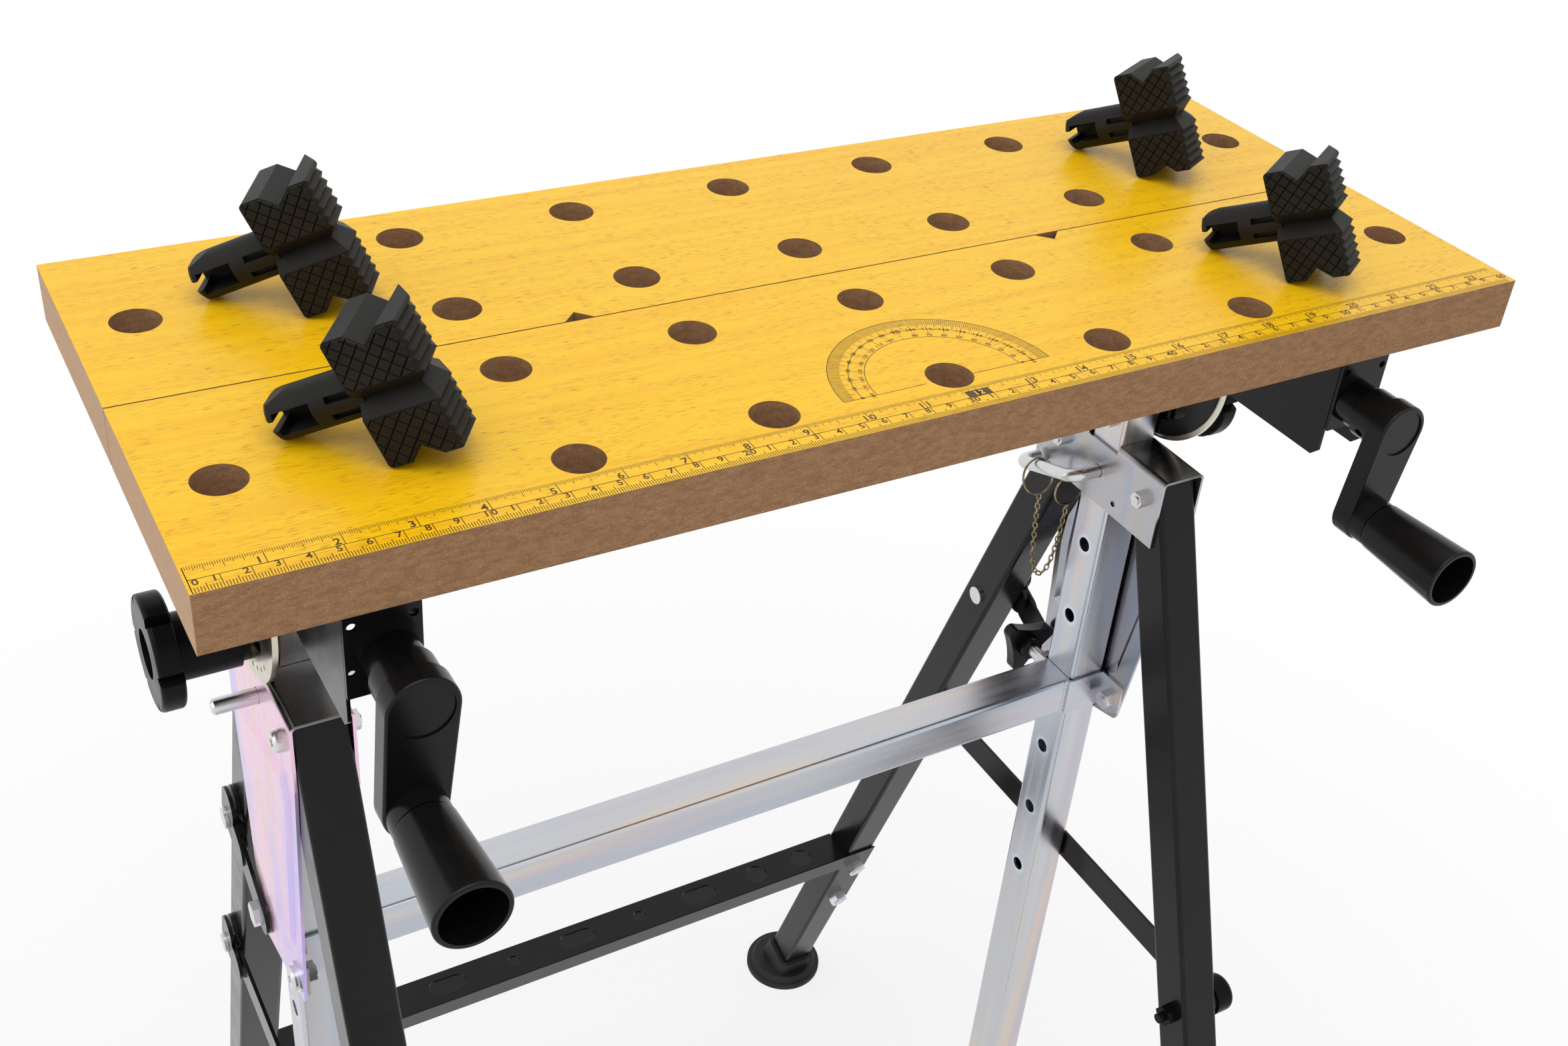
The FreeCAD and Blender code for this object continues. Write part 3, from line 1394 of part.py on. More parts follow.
def build():
    os.makedirs("parts", exist_ok=True)
    save("front_board", front_board())
    save("rear_board", rear_board())
    pair("vise_rail", vise_rail())
    for name, side, lean in (("left", -1, left_lean), ("right", 1, right_lean)):
        save("spindle_" + name, spindle(side))
        save("crank_" + name, crank(side, lean))
        save("crank_handle_" + name, crank_handle(side, lean))
    save("travelling_nuts", both(travelling_nut()))
    save("jaw_screws", both(jaw_screw(-1)) + both(jaw_screw(1)))
    save("board_screws", [screw for y in board_screw_rows for screw in both(board_screw(y))])
    save("spindle_bushes", both(spindle_bush()))
    save("tilt_discs", both(tilt_disc()))
    save("disc_rivets", both(disc_rivet()))
    save("tilt_bolts", both(tilt_bolt()))
    pair("tilt_knob", tilt_knob())
    pair("column", column())
    pair("upper_bracket", upper_bracket())
    front = (-front_pivot_y, front_pivot_z)
    rear = (rear_pivot_y, rear_pivot_z)
    save("pivot_screws", both(pivot_screw(*front)) + both(pivot_screw(*rear)))
    save("pivot_nuts", both(pivot_nut(*front)) + both(pivot_nut(*rear)))
    save("crossbar", crossbar())
    save("sleeves", both(sleeve()))
    save("sleeve_bolts", both(sleeve_bolt()))
    pair("star_knob", star_knob())
    pair("locking_pin", locking_pin())
    pair("pin_chain", pin_chain())
    pair("front_leg", front_leg())
    pair("rear_leg", rear_leg())
    pair("front_foot", foot(-1, -front_pivot_y, front_pivot_z, front_slope))
    pair("rear_foot", foot(1, rear_pivot_y, rear_pivot_z, rear_slope))
    save("foot_step", foot_step())
    save("step_bolts", both(step_bolt(step_bolt_high_z)) + both(step_bolt(step_bolt_low_z)))
    pair("lower_brace", lower_brace())
    pair("upper_brace", upper_brace())
    save("brace_rivets", both(brace_rivet(lower_rivet_z)) + both(brace_rivet(upper_rivet_z)))
    pair("brace_bolt", brace_bolt())
    pair("brace_knob", brace_knob())
    pair("leg_nut", leg_nut_stud())
    for name, place in grip_places.items():
        save("swivel_grip_" + name, swivel_grip(place))


build()
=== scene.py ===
import math
import bmesh
import bpy
from mathutils import Matrix, Vector


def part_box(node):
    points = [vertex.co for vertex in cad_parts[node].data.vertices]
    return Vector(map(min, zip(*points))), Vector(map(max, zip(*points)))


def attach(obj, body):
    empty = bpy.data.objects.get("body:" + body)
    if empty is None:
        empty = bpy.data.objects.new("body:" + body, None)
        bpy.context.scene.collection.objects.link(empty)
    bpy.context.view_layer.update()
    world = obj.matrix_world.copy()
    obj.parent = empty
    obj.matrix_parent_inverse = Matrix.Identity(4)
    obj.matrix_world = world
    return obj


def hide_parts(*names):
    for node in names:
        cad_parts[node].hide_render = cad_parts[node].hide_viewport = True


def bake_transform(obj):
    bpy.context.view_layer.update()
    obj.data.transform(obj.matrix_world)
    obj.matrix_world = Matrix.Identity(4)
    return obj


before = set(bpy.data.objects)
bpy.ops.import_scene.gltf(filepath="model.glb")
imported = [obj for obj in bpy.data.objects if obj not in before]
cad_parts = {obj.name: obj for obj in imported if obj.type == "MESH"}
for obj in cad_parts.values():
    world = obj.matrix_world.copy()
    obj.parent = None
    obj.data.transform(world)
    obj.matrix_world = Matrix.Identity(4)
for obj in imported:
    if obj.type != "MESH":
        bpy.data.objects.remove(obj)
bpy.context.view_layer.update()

print("frame loaded:", len(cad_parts), "nodes")

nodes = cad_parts
mm = 0.001
inch = 25.4
hair = 0.00006
boardLow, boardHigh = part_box("front_board")
boardTop = boardHigh[2]


# Shader maths on wrapped sockets

class Wire:
    def __init__(self, finish, socket):
        self.finish = finish
        self.socket = socket

    def math(self, operation, *others):
        values = [self] + list(others)
        return self.finish.node("ShaderNodeMath", {"operation": operation}, dict(enumerate(values)))

    def __add__(self, other):
        return self.math("ADD", other)

    def __radd__(self, other):
        return self.math("ADD", other)

    def __sub__(self, other):
        return self.math("SUBTRACT", other)

    def __rsub__(self, other):
        return self.finish.node("ShaderNodeMath", {"operation": "SUBTRACT"}, {0: other, 1: self})

    def __mul__(self, other):
        return self.math("MULTIPLY", other)

    def __gt__(self, other):
        return self.math("GREATER_THAN", other)

    def __lt__(self, other):
        return self.math("LESS_THAN", other)

    def band(self, low, high):
        # 0 below low, 1 above high, smooth between
        return self.finish.node("ShaderNodeMapRange", {"interpolation_type": "SMOOTHSTEP"},
                                {0: self, 1: low, 2: high, 3: 0.0, 4: 1.0})


class Finish:
    def __init__(self, holder):
        holder.use_nodes = True
        self.material = holder
        self.tree = holder.node_tree
        self.tree.nodes.clear()

    def node(self, kind, settings=None, sockets=None, out=0):
        made = self.tree.nodes.new(kind)
        for key, value in (settings or {}).items():
            setattr(made, key, value)
        for key, value in (sockets or {}).items():
            target = made.inputs[key]
            if isinstance(value, Wire):
                self.tree.links.new(value.socket, target)
            elif target.type == "RGBA":
                target.default_value = (*value, 1)
            else:
                target.default_value = value
        return Wire(self, made.outputs[out]) if made.outputs else None

    def axes(self):
        split = self.node("ShaderNodeSeparateXYZ", None,
                          {0: self.node("ShaderNodeTexCoord", out="Object")})
        return [Wire(self, output) for output in split.socket.node.outputs]

    def grain(self, kind, shift=(0, 0, 0), source=None):
        # noise from its stretch, scale, detail and roughness
        stretch, scale, detail, rough = kind
        source = source or self.node("ShaderNodeTexCoord", out="Object")
        placed = self.node("ShaderNodeMapping", None,
                           {"Vector": source, "Scale": stretch, "Location": shift})
        return self.node("ShaderNodeTexNoise", None, {"Vector": placed, "Scale": scale,
                                                      "Detail": detail, "Roughness": rough})

    def mix(self, factor, first, second):
        return self.node("ShaderNodeMix", {"data_type": "RGBA"}, {0: factor, 6: first, 7: second},
                         out=2)

    def layer(self, below, mask, coat, share=1.0):
        # a coat is its colour, the band of the mask where it grows and its cover
        colour, band, cover = coat
        return self.mix(mask.band(*band) * (cover * share), below, colour)

    def uneven(self, mask, spread):
        # a spread is its least value, the band of the mask where it grows and its growth
        least, band, growth = spread
        return mask.band(*band) * growth + least

    def bump(self, height, strength, distance):
        return self.node("ShaderNodeBump", None, {"Height": height, "Strength": strength,
                                                  "Distance": distance})

    def surface(self, **sockets):
        named = {key.replace("_", " "): value for key, value in sockets.items()}
        shader = self.node("ShaderNodeBsdfPrincipled", None, named)
        self.node("ShaderNodeOutputMaterial", None, {"Surface": shader})
        return self.material


def newFinish(name):
    return Finish(bpy.data.materials.new(name))


# Finishes. Each grain is (stretch, scale, detail, roughness)

even = (1, 1, 1)
boardFinish = {
    "pale": (0.95, 0.565, 0.006), "yellow": ((0.91, 0.485, 0.0015), (0.35, 0.72), 1.0),
    "streak": ((0.78, 0.36, 0.001), (0.62, 0.85), 0.45), "fleck": (0.42, 0.15, 0.001),
    "fleckCover": 0.72, "fineBand": (0.60, 0.68), "rareBand": (0.34, 0.56),
    "wave": ((2.2, 9.0, 1.0), 1.0, 2.0, 0.55), "bend": 0.012,
    "fine": ((165.0, 2500.0, 1.0), 1.0, 1.0, 0.4), "rare": ((38.0, 130.0, 1.0), 1.0, 2.0, 0.55),
    "streaks": ((5.0, 190.0, 1.0), 1.0, 4.0, 0.55),
    "grit": (even, 1300.0, 4.0, 0.7), "cloud": ((1, 1, 2.4), 210.0, 4.0, 0.7),
    "fibreDark": (0.27, 0.140, 0.066), "fibre": ((0.400, 0.218, 0.108), (0.30, 0.70), 1.0),
    "fibrePale": ((0.60, 0.38, 0.21), (0.52, 0.78), 0.75), "darkGrit": ((0.55, 0.30), 0.55),
    "paintedLightEnd": (0.78, 0.56, 0.38), "paintedLightEndCover": 0.45, "backing": (0.30, 0.19, 0.11),
    "topRough": 0.30, "streakRough": 0.06, "edgeRough": 0.88,
    "fleckDepth": 0.3, "gritHeight": 2.2, "bump": (0.6, 0.00006),
    "coat": 0.10, "coatRough": 0.20, "shine": 0.36,
}


def laminate(name, shift):
    # golden beech print on top, bare fibreboard on the edges and in the holes, with painted light
    # on the left end
    f = newFinish(name)
    s = boardFinish
    x, y, z = f.axes()
    wave = f.grain(s["wave"], shift)
    bend = f.node("ShaderNodeCombineXYZ", None, {0: x, 1: y + wave * s["bend"], 2: 0.0})
    fine = f.grain(s["fine"], shift, bend)
    rare = f.grain(s["rare"], shift)
    flecks = fine.band(*s["fineBand"]) * rare.band(*s["rareBand"])
    streaks = f.grain(s["streaks"], source=bend)
    top = f.layer(s["pale"], streaks, s["yellow"])
    top = f.layer(top, streaks, s["streak"])
    top = f.mix(flecks * s["fleckCover"], top, s["fleck"])
    grit = f.grain(s["grit"])
    edge = f.layer(s["fibreDark"], f.grain(s["cloud"]), s["fibre"])
    edge = f.layer(edge, grit, s["fibrePale"])
    edge = f.layer(edge, grit, (s["fibreDark"], *s["darkGrit"]))
    # painted light: the left end face is painted lighter, as if lit more strongly than the other
    # edges
    edge = f.mix((x < boardLow[0] + hair) * s["paintedLightEndCover"], edge, s["paintedLightEnd"])
    isTop = z > boardTop - hair
    side = f.mix(z < boardLow[2] + hair, edge, s["backing"])
    rough = isTop * (s["topRough"] + streaks * s["streakRough"]) + (1 - isTop) * s["edgeRough"]
    height = (isTop * (s["fleckDepth"] - flecks * s["fleckDepth"])
              + (1 - isTop) * grit * s["gritHeight"])
    return f.surface(Base_Color=f.mix(isTop, side, top), Roughness=rough,
                     Normal=f.bump(height, *s["bump"]), Coat_Weight=isTop * s["coat"],
                     Coat_Roughness=s["coatRough"], Specular_IOR_Level=s["shine"])


paintFinish = {
    "black": (0.0070, 0.0070, 0.0078), "worn": ((0.020, 0.020, 0.022), (0.5, 0.8), 0.5),
    "peel": (even, 520.0, 2.0, 0.55), "dust": (even, 42.0, 5.0, 0.7),
    "rough": (0.20, (0.35, 0.85), 0.10), "bump": (0.35, 0.00002), "shine": 0.20,
}


def glossPaint(name):
    # black enamel with faint orange peel and dust
    f = newFinish(name)
    s = paintFinish
    dust = f.grain(s["dust"])
    return f.surface(Base_Color=f.layer(s["black"], dust, s["worn"]),
                     Roughness=f.uneven(dust, s["rough"]),
                     Normal=f.bump(f.grain(s["peel"]), *s["bump"]), Specular_IOR_Level=s["shine"])


zincFinish = {
    "steel": (0.66, 0.67, 0.68), "yellowed": (0.62, 0.60, 0.42),
    "pink": ((0.78, 0.60, 0.70), (0.46, 0.66), 0.65),
    "blue": ((0.55, 0.60, 0.74), (0.48, 0.68), 0.60),
    "yellow": ((0.74, 0.70, 0.54), (0.50, 0.32), 0.40),
    "drawn": ((0.86, 0.86, 0.87), (0.40, 0.75), 0.18),
    "broad": ((4, 4, 4), 2.3, 2.0, 0.55), "other": ((6, 6, 6), 2.0, 2.0, 0.55),
    "shift": (3.1, 1.7, 0.4), "fine": (even, 160.0, 4.0, 0.6), "spots": (even, 60.0, 5.0, 0.65),
    "rough": (0.24, (0.35, 0.75), 0.10), "bump": (0.08, 0.00002),
}


def zinc(name, base, tint):
    # bright zinc plate with faint oil colours and fine drawn lines
    f = newFinish(name)
    s = zincFinish
    other = f.grain(s["other"], s["shift"])
    fine = f.grain(s["fine"])
    colour = f.layer(s[base], f.grain(s["broad"]), s["pink"], tint)
    colour = f.layer(colour, other, s["blue"], tint)
    colour = f.layer(colour, other, s["yellow"], tint)
    return f.surface(Base_Color=f.layer(colour, fine, s["drawn"]), Metallic=1.0,
                     Roughness=f.uneven(f.grain(s["spots"]), s["rough"]),
                     Normal=f.bump(fine, *s["bump"]))


tubeFinish = {
    "steel": (0.57, 0.58, 0.61), "lilac": ((0.55, 0.49, 0.57), (0.45, 0.62), 0.60),
    "peach": ((0.72, 0.59, 0.48), (0.50, 0.64), 0.70),
    "blue": ((0.46, 0.53, 0.62), (0.48, 0.34), 0.65),
    "drawn": ((0.86, 0.86, 0.87), (0.40, 0.75), 0.14), "along": 1.6, "across": 26.0,
    "broad": (1.3, 2.0, 0.55), "other": (2.1, 3.0, 0.55), "shift": (3.1, 1.7, 0.4),
    "fineAlong": 0.04, "fineAcross": 1.0, "fine": (160.0, 4.0, 0.6),
    "rim": (0.62, 0.74, 0.84), "rimCover": 0.8, "rimBand": (0.0078, 0.0050),
    "holeY": 0.01297, "holeZ": 0.6997, "pitch": 0.052, "stepsDown": 20.5, "lowestHole": 0.3677,
    "rough": (0.25, (0.35, 0.75), 0.08), "bump": (0.08, 0.00002),
}


def tubeZinc(name, axis, holes):
    # drawn tube in streaks of oil colours, each cross hole ringed with a pale blue painted
    # highlight
    f = newFinish(name)
    s = tubeFinish
    x, y, z = f.axes()
    stretch = tuple(s["along"] if k == axis else s["across"] for k in range(3))
    fineStretch = tuple(s["fineAlong"] if k == axis else s["fineAcross"] for k in range(3))
    broad = f.grain((stretch, *s["broad"]))
    other = f.grain((stretch, *s["other"]), s["shift"])
    fine = f.grain((fineStretch, *s["fine"]))
    colour = f.layer(s["steel"], broad, s["lilac"])
    colour = f.layer(colour, other, s["peach"])
    colour = f.layer(colour, other, s["blue"])
    if holes:
        start = s["holeZ"] - s["pitch"] * s["stepsDown"]
        step = (z - start).math("MODULO", s["pitch"]) - s["pitch"] / 2
        side = y - s["holeY"]
        far = (side * side + step * step).math("SQRT")
        # painted highlight: a pale blue ring round each cross hole above the lowest one
        rim = far.band(*s["rimBand"]) * (z > s["lowestHole"])
        colour = f.mix(rim * s["rimCover"], colour, s["rim"])
    return f.surface(Base_Color=f.layer(colour, fine, s["drawn"]), Metallic=1.0,
                     Roughness=f.uneven(fine, s["rough"]), Normal=f.bump(fine, *s["bump"]))


bracketFinish = {
    "left": {"lilac": (0.66, 0.50, 0.90), "pink": (0.88, 0.58, 0.74), "peach": (0.84, 0.60, 0.50),
             "blue": (0.54, 0.54, 0.90)},
    "right": {"lilac": (0.41, 0.44, 0.52), "pink": (0.46, 0.45, 0.47), "peach": (0.46, 0.45, 0.40),
              "blue": (0.37, 0.42, 0.52)},
    "pinkCoat": ((0.42, 0.56), 1.0), "peachCoat": ((0.50, 0.62), 0.75),
    "blueCoat": ((0.45, 0.33), 0.60),
    "dark": (0.15, 0.145, 0.14), "paintedReflection": ((0.42, 0.415, 0.41), (0.40, 0.66), 1.0),
    "paintedTopBand": (0.7196, 0.7218), "wide": ((1.0, 20.0, 3.2), 1.6, 1.5, 0.4),
    "other": ((1.0, 30.0, 4.5), 1.7, 2.0, 0.45), "otherShift": (2.0, 5.0, 1.0),
    "cloud": ((13.0, 17.0, 1.0), 1.5, 2.0, 0.5), "cloudShift": (0.3, 0.1, 0.0),
    "skin": (even, 120.0, 4.0, 0.6), "rough": (0.25, (0.4, 0.8), 0.08), "bump": (0.05, 0.00002),
}


def bracketZinc(name, side):
    # upright flanges in bands of oil colours, with the top painted dark as painted shade and
    # lighter patches of painted reflection
    f = newFinish(name)
    s = {**bracketFinish, **bracketFinish[side]}
    x, y, z = f.axes()
    other = f.grain(s["other"], s["otherShift"])
    flange = f.layer(s["lilac"], f.grain(s["wide"]), (s["pink"], *s["pinkCoat"]))
    flange = f.layer(flange, other, (s["peach"], *s["peachCoat"]))
    flange = f.layer(flange, other, (s["blue"], *s["blueCoat"]))
    # painted shade and painted reflection: the top face is dark, with lighter cloudy patches
    top = f.layer(s["dark"], f.grain(s["cloud"], s["cloudShift"]), s["paintedReflection"])
    skin = f.grain(s["skin"])
    return f.surface(Base_Color=f.mix(z.band(*s["paintedTopBand"]), flange, top), Metallic=1.0,
                     Roughness=f.uneven(skin, s["rough"]), Normal=f.bump(skin, *s["bump"]))


plasticFinish = {
    "gloss": (0.0050, 0.0050, 0.0054), "grip": ((0.0095, 0.0094, 0.0092), (0.4, 0.8), 0.6),
    "skin": (even, 900.0, 2.0, 0.55), "flow": (even, 34.0, 3.0, 0.55), "roughBand": (0.3, 0.8),
    "roughMore": 0.10, "relief": 0.00004, "stud": (0.62, 0.63, 0.64), "studEnd": 0.0438,
    "crank": {"rough": 0.20, "bump": 0.25, "shine": 0.20},
    "knob": {"rough": 0.26, "bump": 0.3, "shine": 0.08},
    "star": {"rough": 0.24, "shine": 0.20},
}


def mouldedPlastic(name, kind):
    f = newFinish(name)
    s = {**plasticFinish, **plasticFinish[kind]}
    flow = f.grain(s["flow"])
    return f.surface(Base_Color=f.layer(s["gloss"], flow, s["grip"]),
                     Roughness=f.uneven(flow, (s["rough"], s["roughBand"], s["roughMore"])),
                     Normal=f.bump(f.grain(s["skin"]), s["bump"], s["relief"]),
                     Specular_IOR_Level=s["shine"])


def studdedPlastic(name, kind):
    # moulded knob with a bright stud inside its hub
    f = newFinish(name)
    s = {**plasticFinish, **plasticFinish[kind]}
    x, y, z = f.axes()
    isStud = y < s["studEnd"]
    flow = f.grain(s["flow"])
    body = f.layer(s["gloss"], flow, s["grip"])
    return f.surface(Base_Color=f.mix(isStud, body, s["stud"]), Metallic=isStud,
                     Roughness=f.uneven(flow, (s["rough"], s["roughBand"], s["roughMore"])),
                     Specular_IOR_Level=s["shine"])


footFinish = {
    "black": (0.012, 0.012, 0.012), "worn": ((0.030, 0.029, 0.028), (0.45, 0.8), 1.0),
    "skin": (even, 700.0, 3.0, 0.55), "dust": (even, 25.0, 4.0, 0.55),
    "rough": 0.50, "dustRough": 0.2, "bump": (0.4, 0.00008), "shine": 0.30,
}
gripFinish = {
    "black": (0.0068, 0.0062, 0.0052), "worn": ((0.0145, 0.0138, 0.0128), (0.42, 0.8), 0.7),
    "skin": (even, 1100.0, 3.0, 0.55), "dust": (even, 55.0, 4.0, 0.55),
    "rough": 0.42, "dustRough": 0.16, "bump": (0.5, 0.00006), "shine": 0.20,
}


def rubber(name, s):
    # matt black with dust and a fine skin
    f = newFinish(name)
    dust = f.grain(s["dust"])
    return f.surface(Base_Color=f.layer(s["black"], dust, s["worn"]),
                     Roughness=dust * s["dustRough"] + s["rough"],
                     Normal=f.bump(f.grain(s["skin"]), *s["bump"]), Specular_IOR_Level=s["shine"])


brassFinish = {
    "dark": (0.24, 0.18, 0.10), "bright": ((0.50, 0.41, 0.26), (0.35, 0.7), 1.0),
    "spots": (even, 260.0, 4.0, 0.55), "rough": 0.24, "spotRough": 0.18, "bump": (0.3, 0.00003),
}


def brass(name):
    f = newFinish(name)
    s = brassFinish
    spots = f.grain(s["spots"])
    return f.surface(Base_Color=f.layer(s["dark"], spots, s["bright"]), Metallic=1.0,
                     Roughness=spots * s["spotRough"] + s["rough"],
                     Normal=f.bump(spots, *s["bump"]))


inkFinish = {
    "dark": ((0.075, 0.032, 0.002), (0.14, 0.065, 0.004)),
    "pale": ((0.92, 0.62, 0.16), (0.96, 0.70, 0.24)),
    "speck": (even, 900.0, 3.0, 0.55), "band": (0.45, 0.75), "cover": 0.5,
    "rough": 0.45, "speckRough": 0.1,
}


def ink(name, kind):
    f = newFinish(name)
    s = inkFinish
    colour, faded = s[kind]
    speck = f.grain(s["speck"])
    return f.surface(Base_Color=f.layer(colour, speck, (faded, s["band"], s["cover"])),
                     Roughness=speck * s["speckRough"] + s["rough"])


print("finishes")
zincPlain = zinc("zincPlain", "steel", 0.35)
zincTube = tubeZinc("zincTube", 2, holes=True)
zincBar = tubeZinc("zincBar", 0, holes=False)
discZinc = zinc("discZinc", "yellowed", 0.5)
leftPlate = bracketZinc("leftPlate", "left")
rightPlate = bracketZinc("rightPlate", "right")
starPlastic = studdedPlastic("starPlastic", "star")
blackPaint = glossPaint("blackPaint")
crankPlastic = mouldedPlastic("crankPlastic", "crank")
knobPlastic = mouldedPlastic("knobPlastic", "knob")
footRubber = rubber("footRubber", footFinish)
gripPlastic = rubber("gripPlastic", gripFinish)
chainBrass = brass("chainBrass")
scaleInk = ink("scaleInk", "dark")
paleInk = ink("paleInk", "pale")

nodeFinish = {
    "front_board": laminate("frontLaminate", (0, 0, 0)),
    "rear_board": laminate("rearLaminate", (4.7, 2.3, 0)),
    "upper_bracket_left": leftPlate, "upper_bracket_right": rightPlate,
    "crossbar": zincBar, "sleeves": zincBar, "tilt_discs": discZinc,
    "spindle_bushes": gripPlastic, "foot_step": blackPaint,
}
zincNodes = ("travelling_nuts", "jaw_screws", "board_screws", "disc_rivets", "tilt_bolts",
             "pivot_screws", "pivot_nuts", "sleeve_bolts", "step_bolts", "brace_rivets")
nodeFinish.update({name: zincPlain for name in zincNodes})
pairFinish = {
    "vise_rail": blackPaint, "spindle": zincPlain, "crank": crankPlastic,
    "crank_handle": crankPlastic, "tilt_knob": knobPlastic, "column": zincTube,
    "star_knob": starPlastic, "locking_pin": zincPlain,
    "pin_chain": chainBrass, "front_leg": blackPaint, "front_foot": footRubber,
    "rear_leg": blackPaint, "rear_foot": footRubber, "lower_brace": blackPaint,
    "upper_brace": blackPaint, "brace_bolt": zincPlain, "brace_knob": knobPlastic,
    "leg_nut": knobPlastic, "swivel_grip_front": gripPlastic, "swivel_grip_rear": gripPlastic,
}
for name, material in pairFinish.items():
    for side in ("left", "right"):
        nodeFinish[name + "_" + side] = material
for name, material in nodeFinish.items():
    mesh = nodes[name].data
    mesh.materials.clear()
    mesh.materials.append(material)


# Making and placing pieces

def addPiece(name, bm, body, material, smooth=False):
    mesh = bpy.data.meshes.new(name)
    bm.to_mesh(mesh)
    bm.free()
    mesh.materials.append(material)
    for face in mesh.polygons:
        face.use_smooth = smooth
    piece = bpy.data.objects.new(name, mesh)
    bpy.context.scene.collection.objects.link(piece)
    if body:
        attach(piece, body)
    return piece


# Printed scale and protractor on the front board, in millimetres from its corner

printing = {
    "height": 0.00004, "line": 0.30, "foot": 0.1, "tickFoot": 0.15, "spread": 0.62, "weight": 0.018,
    "zero": 1.14, "length": 600, "divide": 7.5, "halfReach": 4.3, "reach": 3.0,
    "digit": 4.5, "digitFoot": 4.35, "digitLeft": 1.9, "zeroRight": 2.0,
    "inchTop": 14.9, "inchParts": 32, "inchReaches": ((16, 4.2), (8, 3.4), (4, 2.7), (1, 1.9)),
    "fineTick": 0.22, "inchDigit": 5.2, "inchFoot": 8.1, "inchLeft": 2.2,
    "footInches": 12, "plateHalf": 5.6, "plateY": 9.9, "plateWidth": 4.4, "plateDigit": 4.2,
    "plateFoot": 8.4,
}
protractor = {
    "centre": (301.05, 23.2), "arcs": (49.1, 40.7, 34.1), "pieces": 90, "step": 2,
    "halfReach": 7.0, "reach": 5.0, "tenWidth": 0.16, "tickWidth": 0.24, "digit": 2.6,
    "middleSize": 1.45, "innerSize": 0.92, "outerDrop": 0.35, "innerRise": 0.9, "holeClear": 11.0,
}
printCorner = Vector((boardLow[0], boardLow[1], boardTop + printing["height"]))


def makeDigits():
    shapes = {}
    for digit in "0123456789":
        curve = bpy.data.curves.new("digit" + digit, "FONT")
        curve.body = digit
        curve.size = 1.0
        curve.resolution_u = 3
        curve.offset = printing["weight"]
        curve.align_x = "CENTER"
        holder = bpy.data.objects.new("digit" + digit, curve)
        bpy.context.scene.collection.objects.link(holder)
        bpy.context.view_layer.update()
        shapes[digit] = bpy.data.meshes.new_from_object(holder)
        bpy.data.objects.remove(holder)
        bpy.data.curves.remove(curve)
    return shapes


digitShapes = makeDigits()


def addShape(bm, mesh, matrix):
    before = len(bm.verts)
    bm.from_mesh(mesh)
    bm.verts.ensure_lookup_table()
    bmesh.ops.transform(bm, matrix=matrix, verts=bm.verts[before:])


def printMark(bm, start, end, width):
    # thin printed line between two points
    start, end = Vector((*start, 0)), Vector((*end, 0))
    way = end - start
    turn = Matrix.Rotation(math.atan2(way.y, way.x), 4, "Z")
    size = Matrix.Diagonal((way.length, width, 1, 1))
    middle = Matrix.Translation((start + end) / 2)
    bmesh.ops.create_grid(bm, x_segments=1, y_segments=1, size=0.5, matrix=middle @ turn @ size)


def printNumber(bm, text, place, size, angle=0.0):
    # digits centred on a place, feet towards it
    turn = Matrix.Translation((*place, 0)) @ Matrix.Rotation(angle, 4, "Z")
    for k, digit in enumerate(text):
        offset = (k - (len(text) - 1) / 2) * printing["spread"] * size
        addShape(bm, digitShapes[digit], turn @ Matrix.Translation((offset, 0, 0))
                 @ Matrix.Diagonal((size, size, 1, 1)))


def onBoard(bm, lift=0.0):
    bmesh.ops.transform(bm, matrix=Matrix.Translation(printCorner + Vector((0, 0, lift)))
                        @ Matrix.Diagonal((mm, mm, 1, 1)), verts=bm.verts)


def printMillimetres(bm):
    s = printing
    for k in range(s["length"] + 1):
        x = s["zero"] + k
        reach = s["divide"] if k % 10 == 0 else s["halfReach"] if k % 5 == 0 else s["reach"]
        printMark(bm, (x, s["tickFoot"]), (x, reach), s["line"])
        if k % 10 == 0 and k:
            ten = k // 10
            full = ten % 10 == 0
            printNumber(bm, str(ten) if full else str(ten % 10),
                        (x if full else x - s["digitLeft"], s["digitFoot"]), s["digit"])
    printNumber(bm, "0", (s["zero"] + s["zeroRight"], s["digitFoot"]), s["digit"])


def printInches(bm):
    s = printing
    parts = s["inchParts"]
    reaches = ((parts, s["inchTop"] - s["divide"]), *s["inchReaches"])
    for k in range(int(s["length"] / inch * parts) + 1):
        x = s["zero"] + k * inch / parts
        reach = next(length for step, length in reaches if k % step == 0)
        printMark(bm, (x, s["inchTop"] - reach), (x, s["inchTop"]),
                  s["fineTick"] if k % parts else s["line"])
        if k % parts == 0 and k and k // parts != s["footInches"]:
            text = str(k // parts)
            left = s["inchLeft"] if len(text) == 1 else 0.0
            printNumber(bm, text, (x - left, s["inchFoot"]), s["inchDigit"])


def printedScale():
    s = printing
    zero, top, divide = s["zero"], s["inchTop"], s["divide"]
    bm = bmesh.new()
    printMark(bm, (zero, s["foot"]), (zero, top), s["line"])
    printMark(bm, (zero, divide), (zero + s["length"], divide), s["line"])
    printMillimetres(bm)
    printInches(bm)
    middle = zero + s["footInches"] * inch
    printMark(bm, (middle - s["plateHalf"], s["plateY"]), (middle + s["plateHalf"], s["plateY"]),
              s["plateWidth"])
    onBoard(bm)
    addPiece("printedScale", bm, "top", scaleInk)


def printedFoot():
    s = printing
    bm = bmesh.new()
    middle = s["zero"] + s["footInches"] * inch
    printNumber(bm, str(s["footInches"]), (middle, s["plateFoot"]), s["plateDigit"])
    onBoard(bm, s["height"])
    addPiece("printedFoot", bm, "top", paleInk)


